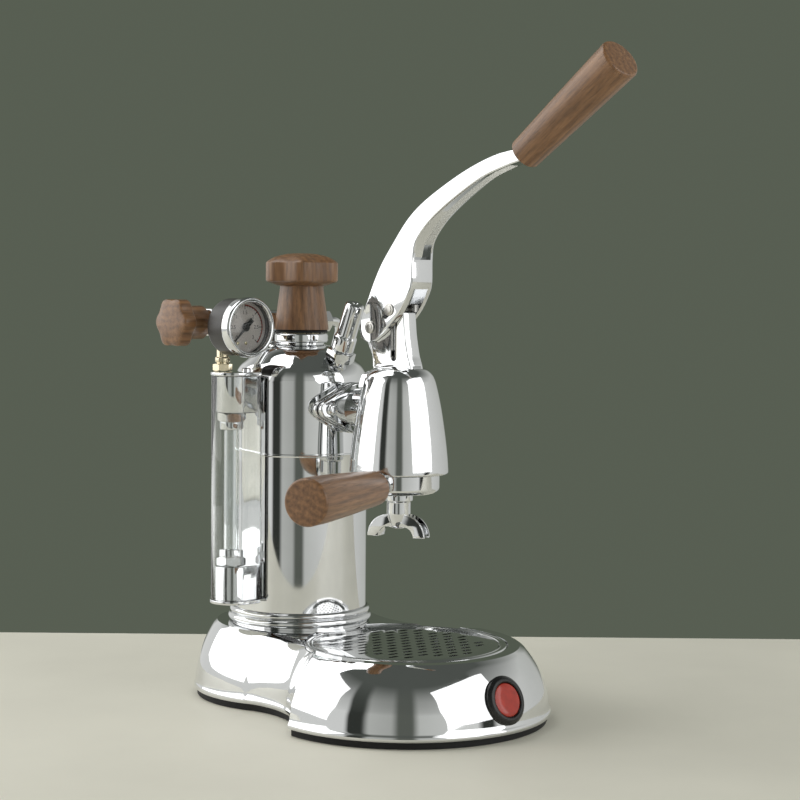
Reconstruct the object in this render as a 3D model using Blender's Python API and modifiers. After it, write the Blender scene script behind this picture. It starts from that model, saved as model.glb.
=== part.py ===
"""Lever espresso machine, as an assembly of separate pieces.

Metres, +Z up. The operator stands at -Y. The frame's origin is on the table,
under the middle of the whole machine; the boiler's axis stands at BOILER_X, BOILER_Y.
"""
import math

import bmesh
import bpy
from mathutils import Matrix, Vector

# General
BOILER_X = 0.01564
BOILER_Y = 0.11003
GAP = 0.0003
OVERRUN = 0.004
MERGE = 0.00001
FINE_STEPS = 20
MID_STEPS = 16
SMALL_STEPS = 12
TINY_STEPS = 8

# Base: two round lobes joined by hollow sides, pressed from sheet
BACK_LOBE_RADIUS = 0.0760
FRONT_LOBE_RADIUS = 0.0996
LOBE_DISTANCE = 0.1131
BACK_CORNER_ANGLE = math.radians(24.0)
FRONT_CORNER_ANGLE = math.radians(4.0)
WAIST_SAG_SHARE = 0.15
BACK_INSET_SHARE = 0.75
BASE_WALL = 0.0015
BASE_FRONT_HEIGHT = 0.0505
BASE_BACK_RISE = 0.0040
BASE_BACK_HEIGHT = BASE_FRONT_HEIGHT + BASE_BACK_RISE
TOP_INSET = 0.0200
FOOT_HEIGHT = 0.0045
FOOT_INSET = 0.0020
FOOT_WIDTH = 0.0070
PLATE_THICKNESS = 0.0015
PLATE_INSET = 0.0028
BASE_LEVEL_SHARES = (
    (0.0, 0.0), (0.05, -0.05), (0.11, 0.01), (0.35, 0.11), (0.62, 0.36), (0.85, 0.70), (0.96, 0.92),
    (1.0, 1.06),
)
INNER_LEVEL_SHARES = ((0.0, 0.01), (0.35, 0.13), (0.70, 0.49), (1.0, 1.06))

# Badge on the base's front: a bare enamel disc in a black ring
BADGE_HEIGHT = 0.0270
BADGE_RING_RADIUS = 0.0165
BADGE_DISC_RADIUS = 0.0112
BADGE_THICKNESS = 0.0040
BADGE_LEAN = math.radians(20.0)
BADGE_STAND = 0.0020
BADGE_EDGE = 0.0012
BADGE_SINK_SHARE = 0.17

# Drip tray and grid
TRAY_RIM_RADIUS = 0.0700
TRAY_RIM_THICKNESS = 0.0014
TRAY_SEAT_DROP = 0.0015
TRAY_SEAT_HEIGHT = BASE_FRONT_HEIGHT - TRAY_SEAT_DROP
TRAY_RADIUS = 0.0655
TRAY_DEPTH = 0.0200
TRAY_WALL = 0.0012
TRAY_BEAD = 0.0010
TRAY_CORNER = 0.0050
GRID_RADIUS = 0.0640
TRAY_NOTCH_CLEAR = 0.0008
GRID_THICKNESS = 0.0014
GRID_LEDGE = 0.0030
SLOT_LENGTH = 0.0200
SLOT_WIDTH = 0.0050
SLOT_PITCH = 0.0310
SLOT_ROW_PITCH = 0.0150
SLOT_MARGIN = 0.0060

# Boiler on its foot flange, with heights that build up from the base
BOILER_RADIUS = 0.0485
BOILER_WALL = 0.0020
BOILER_HEIGHT = 0.1720
BOILER_DOME = 0.0255
BOILER_BOTTOM_HOLE = 0.0300
FLANGE_SINK = 0.0004
FLANGE_HEIGHT = 0.0101
FLANGE_SKIRT = 0.0069
FLANGE_LEDGE = 0.0021
FLANGE_SEAT = BASE_BACK_HEIGHT + FLANGE_SINK
FLANGE_TOP = FLANGE_SEAT + FLANGE_HEIGHT
FLANGE_SKIRT_BOTTOM = FLANGE_SEAT - FLANGE_SKIRT
FLANGE_OUT = 0.0038
FLANGE_SKIRT_OUT = 0.0013
FLANGE_LIP = 0.0045
FLANGE_RADIUS = BOILER_RADIUS + FLANGE_OUT
FLANGE_SKIRT_RADIUS = BOILER_RADIUS + FLANGE_SKIRT_OUT
FLANGE_BORE = BOILER_RADIUS - FLANGE_LIP
FLANGE_STEP = 0.0012
FLANGE_GROOVE = 0.0048
FLANGE_BAND = 0.0060
BOILER_BOTTOM = FLANGE_SEAT + FLANGE_LEDGE
BOILER_SHOULDER = BOILER_BOTTOM + BOILER_HEIGHT
BOILER_TOP = BOILER_SHOULDER + BOILER_DOME
NECK_RADIUS = 0.0165
NECK_BORE = 0.0140
NECK_HEIGHT = 0.0078
NECK_TOP = BOILER_TOP + NECK_HEIGHT
SEAM_RISE = 0.1200
SEAM_HEIGHT = BOILER_BOTTOM + SEAM_RISE
SEAM_HALF = 0.0008
SEAM_PROUD = 0.0004
COLLAR_OUT = 0.0028
COLLAR_RADIUS = NECK_RADIUS + COLLAR_OUT
SHOULDER_SHARES = (
    (0.0, 0.0), (0.17, 0.05), (0.45, 0.18), (0.72, 0.44), (0.86, 0.60), (0.953, 0.80), (1.0, 1.0),
)

# Heating element, thermostat and pressure switch
ELEMENT_FLANGE_RADIUS = 0.0345
ELEMENT_FLANGE_THICKNESS = 0.0040
ELEMENT_TUBE = 0.0040
ELEMENT_SPREAD = 0.0140
ELEMENT_TOP = 0.1150
THERMOSTAT_RADIUS = 0.0090
THERMOSTAT_HEIGHT = 0.0120
PRESSURESTAT_RADIUS = 0.0150
PRESSURESTAT_HEIGHT = 0.0300
PRESSURESTAT_Y = 0.0440
PRESSURESTAT_NECK = 0.0050
PRESSURESTAT_DOME_SHARES = (0.75, 0.70)

# Cord gland at the back and power switch on the operator's right
GLAND_HEIGHT = 0.0200
GLAND_RADIUS = 0.0065
GLAND_FLANGE = 0.0090
GLAND_BORE = 0.0040
GLAND_LENGTH = 0.0130
GLAND_FACE = 0.0005
SWITCH_HEIGHT = 0.0250
SWITCH_Y = -LOBE_DISTANCE
SWITCH_WIDTH = 0.0260
SWITCH_TALL = 0.0180
SWITCH_DEPTH = 0.0220
SWITCH_RIM = 0.0020
SWITCH_RIM_THICKNESS = 0.0020
SWITCH_RIM_OUT = 0.0006
SWITCH_WALL = 0.0016
ROCKER_RUN = 0.0006
ROCKER_HALF_ANGLE = math.radians(8.0)
ROCKER_DEPTH = 0.0055
ROCKER_TIP_SHARE = 0.96
ROCKER_HEEL_SHARE = 0.60

# Filler cap: wooden knob on a metal insert
CAP_STEM_LIFT = 0.0026
CAP_STEM_HEIGHT = 0.0341
CAP_WHEEL_HEIGHT = 0.0210
CAP_STEM_BOTTOM = NECK_TOP + CAP_STEM_LIFT
CAP_STEM_TOP = CAP_STEM_BOTTOM + CAP_STEM_HEIGHT
CAP_TOP = CAP_STEM_TOP + CAP_WHEEL_HEIGHT
CAP_STEM_BOTTOM_RADIUS = 0.0197
CAP_STEM_TOP_RADIUS = 0.0167
CAP_WHEEL_RADIUS = 0.0287
CAP_LOBES = 8
CAP_LOBE_DEPTH = 0.0017
CAP_FOOT_SHARE = 0.10
CAP_WHEEL_SHARES = ((0.93, 0.13, 0.5), (1.0, 0.24, 1.0), (1.0, 0.76, 1.0), (0.92, 0.93, 0.5),
                    (0.55, 1.0, 0.0))
CAP_PLUG_LENGTH = 0.0130
CAP_INSERT_FLANGE = 0.0165
CAP_INSERT_THICKNESS = 0.0022
CAP_SPINDLE = 0.0060
CAP_SPINDLE_LENGTH = 0.0251
CAP_SPINDLE_TOP = CAP_STEM_BOTTOM + CAP_SPINDLE_LENGTH
CAP_GASKET_RADIUS = 0.0188
RUNNING = 0.0005

# Steam valve across the boiler's top, behind the cap
VALVE_Y = 0.0300
VALVE_RADIUS = 0.0070
VALVE_BLOCK_RADIUS = 0.0088
VALVE_BLOCK_HALF = 0.0120
VALVE_LEFT = -0.0520
VALVE_RIGHT = 0.0400
VALVE_FOOT_RADIUS = 0.0060
VALVE_FOOT_FLANGE = 0.0085
VALVE_SEAT_DEPTH = 0.0015
VALVE_LIFT = 0.0170
VALVE_SEAT = BOILER_TOP - VALVE_SEAT_DEPTH
VALVE_Z = VALVE_SEAT + VALVE_LIFT
VALVE_FOOT_DEPTH = 0.0060
VALVE_PORT_CUT = 0.0080
GLAND_NUT_ACROSS = 0.0095
GLAND_NUT_LENGTH = 0.0120
SPINDLE_RADIUS = 0.0035
SPINDLE_INNER = -0.0200
STEAM_KNOB_STEM_START = -0.0690
STEAM_KNOB_WHEEL_START = -0.0845
STEAM_KNOB_FACE = -0.0970
STEAM_KNOB_RADIUS = 0.0178
STEAM_KNOB_STEM_RADIUS = 0.0118
STEAM_KNOB_STEM_WAIST = 0.0105
STEAM_KNOB_LOBES = 8
STEAM_KNOB_LOBE_DEPTH = 0.0011
STEAM_WHEEL_SHARES = (
    (0.93, 0.14, 0.5), (1.0, 0.28, 1.0), (1.0, 0.72, 1.0), (0.94, 0.88, 0.7), (0.78, 0.97, 0.2),
    (0.50, 1.0, 0.0),
)

# Steam wand on the operator's right
WAND_NUT_ACROSS = 0.0075
WAND_NUT_LENGTH = 0.0100
WAND_RADIUS = 0.0035
WAND_REACH = 0.0160
WAND_LENGTH = 0.1250
WAND_BEND = 0.0110
WAND_LEAN = math.radians(22.0)
WAND_TIP_RADIUS = 0.0050
WAND_TIP_LENGTH = 0.0160
WAND_TIP_BORE = 0.0015
WAND_TIP_STRAIGHT_SHARE = 0.60

# Safety valve, leaning forward on the shoulder
SAFETY_LEAN = math.radians(22.7)
SAFETY_SET_IN = 0.0070
SAFETY_Y = -(BOILER_RADIUS - SAFETY_SET_IN)
SAFETY_RISE = 0.0150
SAFETY_Z = BOILER_SHOULDER + SAFETY_RISE
SAFETY_STEM_RADIUS = 0.0048
SAFETY_STEM_DEPTH = 0.0090
SAFETY_SPOT_RADIUS = 0.0110
SAFETY_SPOT_RISE = 0.0120
SAFETY_CUT = 0.0160
SAFETY_NUT_ACROSS = 0.0092
SAFETY_NUT_LENGTH = 0.0075
SAFETY_BODY_RADIUS = 0.0082
SAFETY_TIP_RADIUS = 0.0066
SAFETY_TOP = 0.0440

# Sight glass on the operator's left
SIGHT_OUT = 0.0155
SIGHT_X = -(BOILER_RADIUS + SIGHT_OUT)
SIGHT_TUBE_RADIUS = 0.0055
SIGHT_TUBE_WALL = 0.0012
SIGHT_ARM_RADIUS = 0.0040
SIGHT_LOW_RISE = 0.0302
SIGHT_HIGH_DROP = 0.0092
SIGHT_LOW_ARM = BOILER_BOTTOM + SIGHT_LOW_RISE
SIGHT_HIGH_ARM = BOILER_SHOULDER - SIGHT_HIGH_DROP
SIGHT_NUT_ACROSS = 0.0088
SIGHT_NUT_HEIGHT = 0.0062
SIGHT_COLLAR_RADIUS = 0.0085
SIGHT_COLLAR_HEIGHT = 0.0055
LOWER_BLOCK_HALF = 0.0124
UPPER_BLOCK_HALF = 0.0134
LOWER_BLOCK_BOTTOM = SIGHT_LOW_ARM - LOWER_BLOCK_HALF
LOWER_BLOCK_TOP = SIGHT_LOW_ARM + LOWER_BLOCK_HALF
UPPER_BLOCK_BOTTOM = SIGHT_HIGH_ARM - UPPER_BLOCK_HALF
UPPER_BLOCK_TOP = SIGHT_HIGH_ARM + UPPER_BLOCK_HALF
BLOCK_RADIUS = 0.0125
BLOCK_SET_BACK = 0.0014
BLOCK_CLEAR = 0.0030
SHIELD_CLEAR = 0.0015
BLOCK_CENTRE_X = SIGHT_X + BLOCK_SET_BACK
BLOCK_BACK_X = -(BOILER_RADIUS + BLOCK_CLEAR)
SHIELD_RADIUS = 0.0155
SHIELD_WALL = 0.0015
SHIELD_BACK_X = -(BOILER_RADIUS + SHIELD_CLEAR)
RING_THICKNESS = 0.0026
RING_OVERHANG = 0.0006
SHIELD_SCREW_RADIUS = 0.0032
SHIELD_SCREW_HEIGHT = 0.0028
SHIELD_SCREW_IN = 0.0071
SHIELD_SCREW_X = BLOCK_CENTRE_X + SHIELD_SCREW_IN
SHIELD_SCREW_Y = -0.0055

# Pressure gauge, facing the operator
GAUGE_OFFSET = 0.0010
GAUGE_LIFT = 0.0317
GAUGE_X = SIGHT_X - GAUGE_OFFSET
GAUGE_Z = UPPER_BLOCK_TOP + RING_THICKNESS + GAUGE_LIFT
GAUGE_FRONT = -0.0235
GAUGE_BEZEL_BACK = -0.0095
GAUGE_CASE_BACK = 0.0040
GAUGE_RADIUS = 0.0211
GAUGE_CASE_RADIUS = 0.0197
GAUGE_OPENING = 0.0185
GAUGE_DIAL_RADIUS = 0.0176
GAUGE_DIAL_Y = -0.0150
GAUGE_DIAL_THICKNESS = 0.0010
GAUGE_LENS_THICKNESS = 0.0016
GAUGE_WALL = 0.0012
GAUGE_CORNER = 0.0036
NEEDLE_LENGTH = 0.0150
NEEDLE_TAIL = 0.0075
NEEDLE_HUB = 0.0022
NEEDLE_THICKNESS = 0.0006
NEEDLE_WIDTH = 0.0011
NEEDLE_POINT_SHARE = 0.90
NEEDLE_REST = math.radians(135.0)
ELBOW_RADIUS = 0.0042
ELBOW_Y = 0.0094
ELBOW_LEAD = 0.0014
ELBOW_NUT_ACROSS = 0.0060
ELBOW_NUT_HEIGHT = 0.0052

# Group: flange, bell and the tower that carries the lever
GROUP_OUT = 0.0560
GROUP_DROP = 0.0180
GROUP_Y = -(BOILER_RADIUS + GROUP_OUT)
GROUP_Z = BOILER_SHOULDER - GROUP_DROP
FLANGE_HALF = 0.0350
FLANGE_TALL = 0.0180
FLANGE_CORNER = 0.0060
FLANGE_STAND = 0.0038
FLANGE_FACE = -(BOILER_RADIUS + FLANGE_STAND)
FLANGE_PLATE = 0.0045
GASKET_THICKNESS = 0.0010
GROUP_FLANGE_BACK = FLANGE_FACE - FLANGE_PLATE - GASKET_THICKNESS - 2.0 * GAP
PORT_RADIUS = 0.0050
PORT_BOSS_RADIUS = 0.0150
BOLT_SPACING = 0.0260
BOLT_RADIUS = 0.0030
BOLT_HEAD = 0.0042
BOLT_HEAD_HEIGHT = 0.0034
BOLT_CHAMFER = 0.0008
NECK_TUBE_RADIUS = 0.0140
BELL_RADIUS = 0.0343
BELL_DROP = 0.0426
BELL_HEIGHT = 0.0756
BELL_BOTTOM = GROUP_Z - BELL_DROP
BELL_TOP = BELL_BOTTOM + BELL_HEIGHT
BELL_SHARES = (
    (0.0, 1.0), (0.35, 0.989), (0.569, 0.947), (0.676, 0.892), (0.735, 0.828), (0.848, 0.590), (0.948, 0.286),
    (1.0, 0.034), (0.985, 0.0),
)
TOWER_HALF = 0.0060
TOWER_SINK = 0.0140
TOWER_HEIGHT = 0.0495
TOWER_REACH = 0.0300
TOWER_FOOT = BELL_TOP - TOWER_SINK
TOWER_TOP = TOWER_FOOT + TOWER_HEIGHT
TOWER_SIDE_SHARES = (
    (0.0, -0.633, 0.717), (0.222, -0.567, 0.717), (0.313, -0.517, 0.717), (0.404, -0.46, 0.75),
    (0.566, -0.40, 0.90), (0.707, -0.357, 1.0), (0.848, -0.333, 0.967), (1.0, -0.307, 0.367),
)
FLARE_SINK = 0.0160
FLARE_HEIGHT = 0.0250
FLARE_SHARES = (
    (0.0, -0.717, 0.033, 0.783, 0.75), (0.32, -0.65, 0.073, 0.75, 0.65), (0.52, -0.583, 0.12, 0.70, 0.28),
    (0.70, -0.50, 0.14, 0.70, 0.19), (1.0, -0.383, 0.15, 0.70, 0.167),
)
SLEEVE_RADIUS = 0.0231
SLEEVE_BORE = 0.0210
SLEEVE_LIFT = 0.0096
SLEEVE_RISE = 0.0100
SLEEVE_BOTTOM = BELL_BOTTOM + SLEEVE_LIFT
SLEEVE_TOP = GROUP_Z + SLEEVE_RISE
SOCKET_RADIUS = 0.0290
LUG_RADIUS = 0.0314
LUG_CLEAR = 0.0009
LUG_LIFT = 0.0032
LUG_BOTTOM = BELL_BOTTOM + LUG_LIFT
LUG_HEIGHT = 0.0019
LUG_HALF_ANGLE = math.radians(22.0)
LUG_ROOT = 0.0008
NOTCH_HALF_ANGLE = math.radians(26.0)
SEAL_LIFT = 0.0068
SEAL_BOTTOM = BELL_BOTTOM + SEAL_LIFT
SEAL_INNER = 0.0236
SEAL_HEIGHT = 0.0040
SCREEN_RADIUS = 0.0215
SCREEN_THICKNESS = 0.0010

# Piston, its rod and the pins
PISTON_RADIUS = 0.0204
PISTON_DROP = 0.0050
PISTON_HEIGHT = 0.0140
PISTON_BOTTOM = GROUP_Z - PISTON_DROP
PISTON_TOP = PISTON_BOTTOM + PISTON_HEIGHT
PISTON_GROOVE = 0.0180
PISTON_GROOVE_SHARE = 0.18
PISTON_SEAL_HEIGHT = 0.0030
PISTON_SEAL_RADIUS = 0.0207
ROD_RADIUS = 0.0038
ROD_CLEAR = 0.0004
ROD_SEAT = 0.0080
PIN_RADIUS = 0.0028
PIN_LENGTH = 0.0212
PISTON_PIN_RISE = 0.0015
ROD_OVER_PIN = 0.0040
PISTON_PIN_Z = TOWER_TOP + PISTON_PIN_RISE
ROD_TOP = PISTON_PIN_Z + ROD_OVER_PIN
FULCRUM_BEHIND = 0.0208
FULCRUM_DROP = 0.0111
FULCRUM_Y = GROUP_Y + FULCRUM_BEHIND
FULCRUM_Z = TOWER_TOP - FULCRUM_DROP
SLOT_LIFT = 0.0050
SLOT_BOTTOM = BELL_TOP + SLOT_LIFT
SLOT_HALF = 0.0033
PIN_CHAMFER = 0.0004

# Lever: a forked casting, hollow under the arm
CHEEK_OUTER = 0.0105
CHEEK_INNER = 0.0064
ARM_END_HALF = 0.0052
ARM_TAPER_START = 0.0450
ARM_WALL = 0.0026
LEVER_RUN = 0.1355
LEVER_RISE = 0.1136
LEVER_BACK_SHARES = (
    (-0.072, 0.000), (-0.053, 0.076), (-0.012, 0.170), (0.027, 0.267), (0.089, 0.387), (0.168, 0.511),
    (0.262, 0.646), (0.368, 0.748), (0.531, 0.857), (0.691, 0.945), (0.846, 1.006), (0.980, 1.032),
)
LEVER_FRONT_SHARES = (
    (1.015, 0.965), (0.936, 0.943), (0.792, 0.890), (0.679, 0.826), (0.531, 0.724), (0.415, 0.626),
    (0.331, 0.514), (0.314, 0.410), (0.311, 0.278), (0.297, 0.221), (0.248, 0.122), (0.193, 0.052),
    (0.137, -0.002), (0.069, -0.056), (0.000, -0.093), (-0.053, -0.070),
)
FORK_REACH = 0.0490
FORK_BACK_REACH = 0.0335
FORK_FRONT_ANGLES = (math.radians(128.0), math.radians(250.0))
FORK_BACK_ANGLES = (math.radians(-30.0), math.radians(120.0))
CHANNEL_SHARE = 0.60
LEVER_BEVEL = 0.0012
PIN_SLOT_CLEAR = 0.0010
RECESS_AHEAD = 0.0023
RECESS_ABOVE = 0.0026
RECESS_PLACE = (FULCRUM_Y - RECESS_AHEAD, FULCRUM_Z + RECESS_ABOVE)
RECESS_SIZE = (0.0050, 0.0130, 0.0165)
RECESS_DEPTH = 0.0016
HANDLE_ANGLE = math.radians(145.1)
HANDLE_START = (FULCRUM_Y - LEVER_RUN, FULCRUM_Z + LEVER_RISE)
HANDLE_LENGTH = 0.0972
HANDLE_ROOT_RADIUS = 0.0108
HANDLE_END_RADIUS = 0.0139
HANDLE_CHAMFER = 0.0012
HANDLE_SWELL_SHARE = 0.55
TANG_RADIUS = 0.0040
TANG_LENGTH = 0.0400
TANG_ROOT = 0.0060

# Portafilter
HANDLE_HEADING = math.radians(202.0)
HEAD_RADIUS = 0.0283
HEAD_IN_BELL = 0.0054
HEAD_HEIGHT = 0.0188
HEAD_TOP = BELL_BOTTOM + HEAD_IN_BELL
HEAD_BOTTOM = HEAD_TOP - HEAD_HEIGHT
HEAD_INNER = 0.0262
HEAD_FLOOR = 0.0030
BASKET_RADIUS = 0.0256
BASKET_WALL = 0.0008
BASKET_LIFT = 0.0040
BASKET_BOTTOM = HEAD_BOTTOM + BASKET_LIFT
BASKET_RIM = 0.0282
BASKET_TAPER = 0.0012
FERRULE_START = 0.0270
FERRULE_NECK_END = 0.0350
FERRULE_END = 0.0385
FERRULE_ROOT_RADIUS = 0.0061
FERRULE_END_RADIUS = 0.0100
GRIP_START = 0.0388
GRIP_END = 0.1395
GRIP_LIFT = 0.0065
GRIP_Z = HEAD_BOTTOM + GRIP_LIFT
GRIP_ROOT_RADIUS = 0.0105
GRIP_END_RADIUS = 0.0155
GRIP_SWELL_SHARES = (0.40, 0.62)
GRIP_STRAIGHT_SHARE = 0.20
GRIP_TANG_RADIUS = 0.0038
GRIP_TANG_END = 0.0700

# Double spout
BOSS_TOP = HEAD_BOTTOM - GAP
BOSS_HEIGHT = 0.0162
BOSS_BOTTOM = BOSS_TOP - BOSS_HEIGHT
BOSS_RADIUS = 0.0083
BOSS_COLLAR_RADIUS = 0.0098
BOSS_COLLAR_HEIGHT = 0.0055
SPOUT_TURN = math.radians(90.0)
SPOUT_BEND_RADIUS = 0.0155
SPOUT_ARM_HALF = 0.0052
SPOUT_ARM_HEIGHT = 0.0085
SPOUT_DROP = 0.0147
SPOUT_TOP = BOSS_TOP - SPOUT_DROP
SPOUT_WALL = 0.0016
SPOUT_BORE = 0.0040
SPOUT_BEND_CENTRE = 0.0060
SPOUT_ARM_LEAD = math.radians(25.0)
SPOUT_LIP_ANGLE = math.radians(12.0)
SPOUT_CUT_RUN = 0.0160


def clear_scene():
    """Remove whatever the file holds, so the machine stands alone."""
    for thing in list(bpy.data.objects):
        bpy.data.objects.remove(thing, do_unlink=True)


clear_scene()
machine = bpy.data.collections.new("lever_espresso_machine")
cutters = bpy.data.collections.new("cutters")
for group in (machine, cutters):
    bpy.context.scene.collection.children.link(group)
frame = bpy.data.objects.new("machine_frame", None)
frame.location = (BOILER_X, BOILER_Y, 0.0)
machine.objects.link(frame)
bpy.context.view_layer.update()


def material(name, colour, roughness, metallic=0.0, alpha=1.0):
    """One plain Principled material."""
    made = bpy.data.materials.new(name)
    made.use_nodes = True
    surface = made.node_tree.nodes["Principled BSDF"]
    surface.inputs["Base Color"].default_value = (*colour, 1.0)
    surface.inputs["Roughness"].default_value = roughness
    surface.inputs["Metallic"].default_value = metallic
    surface.inputs["Alpha"].default_value = alpha
    return made


CHROME = (0.78, 0.78, 0.78)
STEEL = (0.60, 0.60, 0.61)
BRASS = (0.78, 0.62, 0.30)
WALNUT = (0.16, 0.055, 0.022)
BLACK = (0.015, 0.015, 0.016)


def keep(body, name, colour, roughness, metallic=0.0, place=None, turn=None, parent=None):
    """Name a piece, give it its material and put it in the machine."""
    body.name = name
    body.data.name = name
    body.data.materials.clear()
    body.data.materials.append(material(name, colour, roughness, metallic))
    body.parent = parent or frame
    if place is not None:
        body.location = place
    if turn is not None:
        body.rotation_euler = turn
    if body.name not in machine.objects:
        machine.objects.link(body)
    return body


def guide(body, place=None, turn=None, parent=None):
    """A cutter, or a shape that is joined on: it isn't a piece of the machine."""
    body.parent = parent or frame
    if place is not None:
        body.location = place
    if turn is not None:
        body.rotation_euler = turn
    body.hide_render = True
    body.display_type = "WIRE"
    cutters.objects.link(body)
    return body


def combine(body, other, operation="DIFFERENCE"):
    """Cut a guide out of a piece, or join it on."""
    step = body.modifiers.new(operation.lower(), "BOOLEAN")
    step.operation = operation
    step.solver = "EXACT"
    step.object = other


def join(body, other):
    """Join a guide to a piece."""
    combine(body, other, "UNION")


def from_bmesh(shape, name):
    """Turn a bmesh into an object, with its faces pointing out."""
    bmesh.ops.recalc_face_normals(shape, faces=shape.faces)
    mesh = bpy.data.meshes.new(name)
    shape.to_mesh(mesh)
    shape.free()
    return bpy.data.objects.new(name, mesh)


def smooth(body, angle=math.radians(35.0)):
    """Shade round faces smooth and keep the edges crisp."""
    body.data.shade_smooth()
    body.data.set_sharp_from_angle(angle=angle)
    return body


def turned(name, profile, steps=SMALL_STEPS, closed=False):
    """A turned shape about Z. The profile runs down its outer side, top to bottom."""
    mesh = bpy.data.meshes.new(name)
    count = len(profile)
    edges = [(i, i + 1) for i in range(count - 1)]
    if closed:
        edges.append((count - 1, 0))
    mesh.from_pydata([(radius, 0.0, z) for radius, z in profile], edges, [])
    body = bpy.data.objects.new(name, mesh)
    screw = body.modifiers.new("turn", "SCREW")
    screw.axis = "Z"
    screw.steps = steps
    screw.render_steps = steps
    screw.use_merge_vertices = True
    screw.merge_threshold = MERGE
    screw.use_smooth_shade = True
    return body


def tube(name, outer, inner, bottom, top, steps=SMALL_STEPS):
    """A plain ring or sleeve."""
    return turned(name, [(outer, top), (outer, bottom), (inner, bottom), (inner, top)], steps, closed=True)


def drum(name, radius, bottom, top, steps=SMALL_STEPS, top_radius=None, chamfer=0.0):
    """A solid cylinder or cone, with a small chamfer on both ends."""
    upper = radius if top_radius is None else top_radius
    profile = [(0.0, top)]
    if chamfer:
        profile += [(upper - chamfer, top), (upper, top - chamfer), (radius, bottom + chamfer),
                    (radius - chamfer, bottom)]
    else:
        profile += [(upper, top), (radius, bottom)]
    return turned(name, profile + [(0.0, bottom)], steps)


def hexagon(name, across, bottom, top, chamfer=0.0):
    """A hexagonal nut or bolt head, across is half its width over the flats."""
    shape = bmesh.new()
    corner = across / math.cos(math.pi / 6.0)
    made = bmesh.ops.create_cone(shape, cap_ends=True, segments=6, radius1=corner, radius2=corner,
                                 depth=top - bottom)
    bmesh.ops.translate(shape, verts=made["verts"], vec=(0.0, 0.0, (top + bottom) / 2.0))
    if chamfer:
        rims = [e for e in shape.edges if abs(e.verts[0].co.z - e.verts[1].co.z) < MERGE]
        bmesh.ops.bevel(shape, geom=rims, offset=chamfer, segments=1, affect="EDGES")
    return from_bmesh(shape, name)


def block(name, size, place=(0.0, 0.0, 0.0), bevel=0.0, segments=2):
    """A box, with rounded edges where it has a bevel."""
    shape = bmesh.new()
    made = bmesh.ops.create_cube(shape, size=1.0)
    bmesh.ops.scale(shape, verts=made["verts"], vec=size)
    bmesh.ops.translate(shape, verts=made["verts"], vec=place)
    if bevel:
        bmesh.ops.bevel(shape, geom=list(shape.edges), offset=bevel, segments=segments, affect="EDGES",
                        profile=0.5)
    return from_bmesh(shape, name)


def slab(name, outline, low, high, axes="XY"):
    """A flat outline given thickness along the third axis."""
    shape = bmesh.new()
    spot = {"XY": lambda a, b: (a, b, low), "XZ": lambda a, b: (a, low, b), "YZ": lambda a,
            b: (low, a, b)}[axes]
    push = {"XY": (0.0, 0.0, 1.0), "XZ": (0.0, 1.0, 0.0), "YZ": (1.0, 0.0, 0.0)}[axes]
    face = shape.faces.new([shape.verts.new(spot(a, b)) for a, b in outline])
    made = bmesh.ops.extrude_face_region(shape, geom=[face])
    moved = [part for part in made["geom"] if isinstance(part, bmesh.types.BMVert)]
    bmesh.ops.translate(shape, verts=moved, vec=Vector(push) * (high - low))
    return from_bmesh(shape, name)


def loft(name, rings):
    """A closed skin over rings of equal count, first to last, with both ends capped."""
    shape = bmesh.new()
    layers = [[shape.verts.new(point) for point in ring] for ring in rings]
    count = len(layers[0])
    for lower, upper in zip(layers, layers[1:]):
        for i in range(count):
            j = (i + 1) % count
            shape.faces.new((lower[i], lower[j], upper[j], upper[i]))
    ends = [shape.faces.new(list(reversed(layers[0]))), shape.faces.new(layers[-1])]
    bmesh.ops.triangulate(shape, faces=[face for face in shape.faces if face not in ends])
    return from_bmesh(shape, name)


def pipe(name, points, radius, resolution=2):
    """A round tube along points, as a closed mesh."""
    curve = bpy.data.curves.new(name, "CURVE")
    curve.dimensions = "3D"
    curve.bevel_depth = radius
    curve.bevel_resolution = resolution
    curve.use_fill_caps = True
    curve.resolution_u = 1
    curve.render_resolution_u = 0
    line = curve.splines.new("POLY")
    line.points.add(len(points) - 1)
    for spot, point in zip(line.points, points):
        spot.co = (*point, 1.0)
    run = bpy.data.objects.new(name, curve)
    bpy.context.scene.collection.objects.link(run)
    bpy.context.view_layer.update()
    mesh = bpy.data.meshes.new_from_object(run.evaluated_get(bpy.context.evaluated_depsgraph_get()))
    bpy.data.objects.remove(run, do_unlink=True)
    shape = bmesh.new()
    shape.from_mesh(mesh)
    bmesh.ops.remove_doubles(shape, verts=shape.verts, dist=MERGE)
    bpy.data.meshes.remove(mesh)
    return from_bmesh(shape, name)


def arc(centre, radius, start, end, count):
    """Points round an arc, both ends included."""
    turns = [start + (end - start) * i / (count - 1) for i in range(count)]
    return [(centre[0] + radius * math.cos(t), centre[1] + radius * math.sin(t)) for t in turns]


def lobed_wheel(name, rows, lobes, depth, points_per_lobe=8):
    """A hand wheel: rows of radius, height and how far the lobes show there."""
    count = lobes * points_per_lobe
    rings = []
    for radius, z, share in rows:
        ring = []
        for i in range(count):
            angle = 2.0 * math.pi * i / count
            wave = abs(math.sin(lobes * angle / 2.0)) ** 0.8
            reach = radius - depth * share * (1.0 - wave) * 2.0
            ring.append((reach * math.cos(angle), reach * math.sin(angle), z))
        rings.append(ring)
    return loft(name, rings)


LYING_ALONG_X = (0.0, math.radians(90.0), 0.0)
FACING_FRONT = (math.radians(90.0), 0.0, 0.0)


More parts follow.
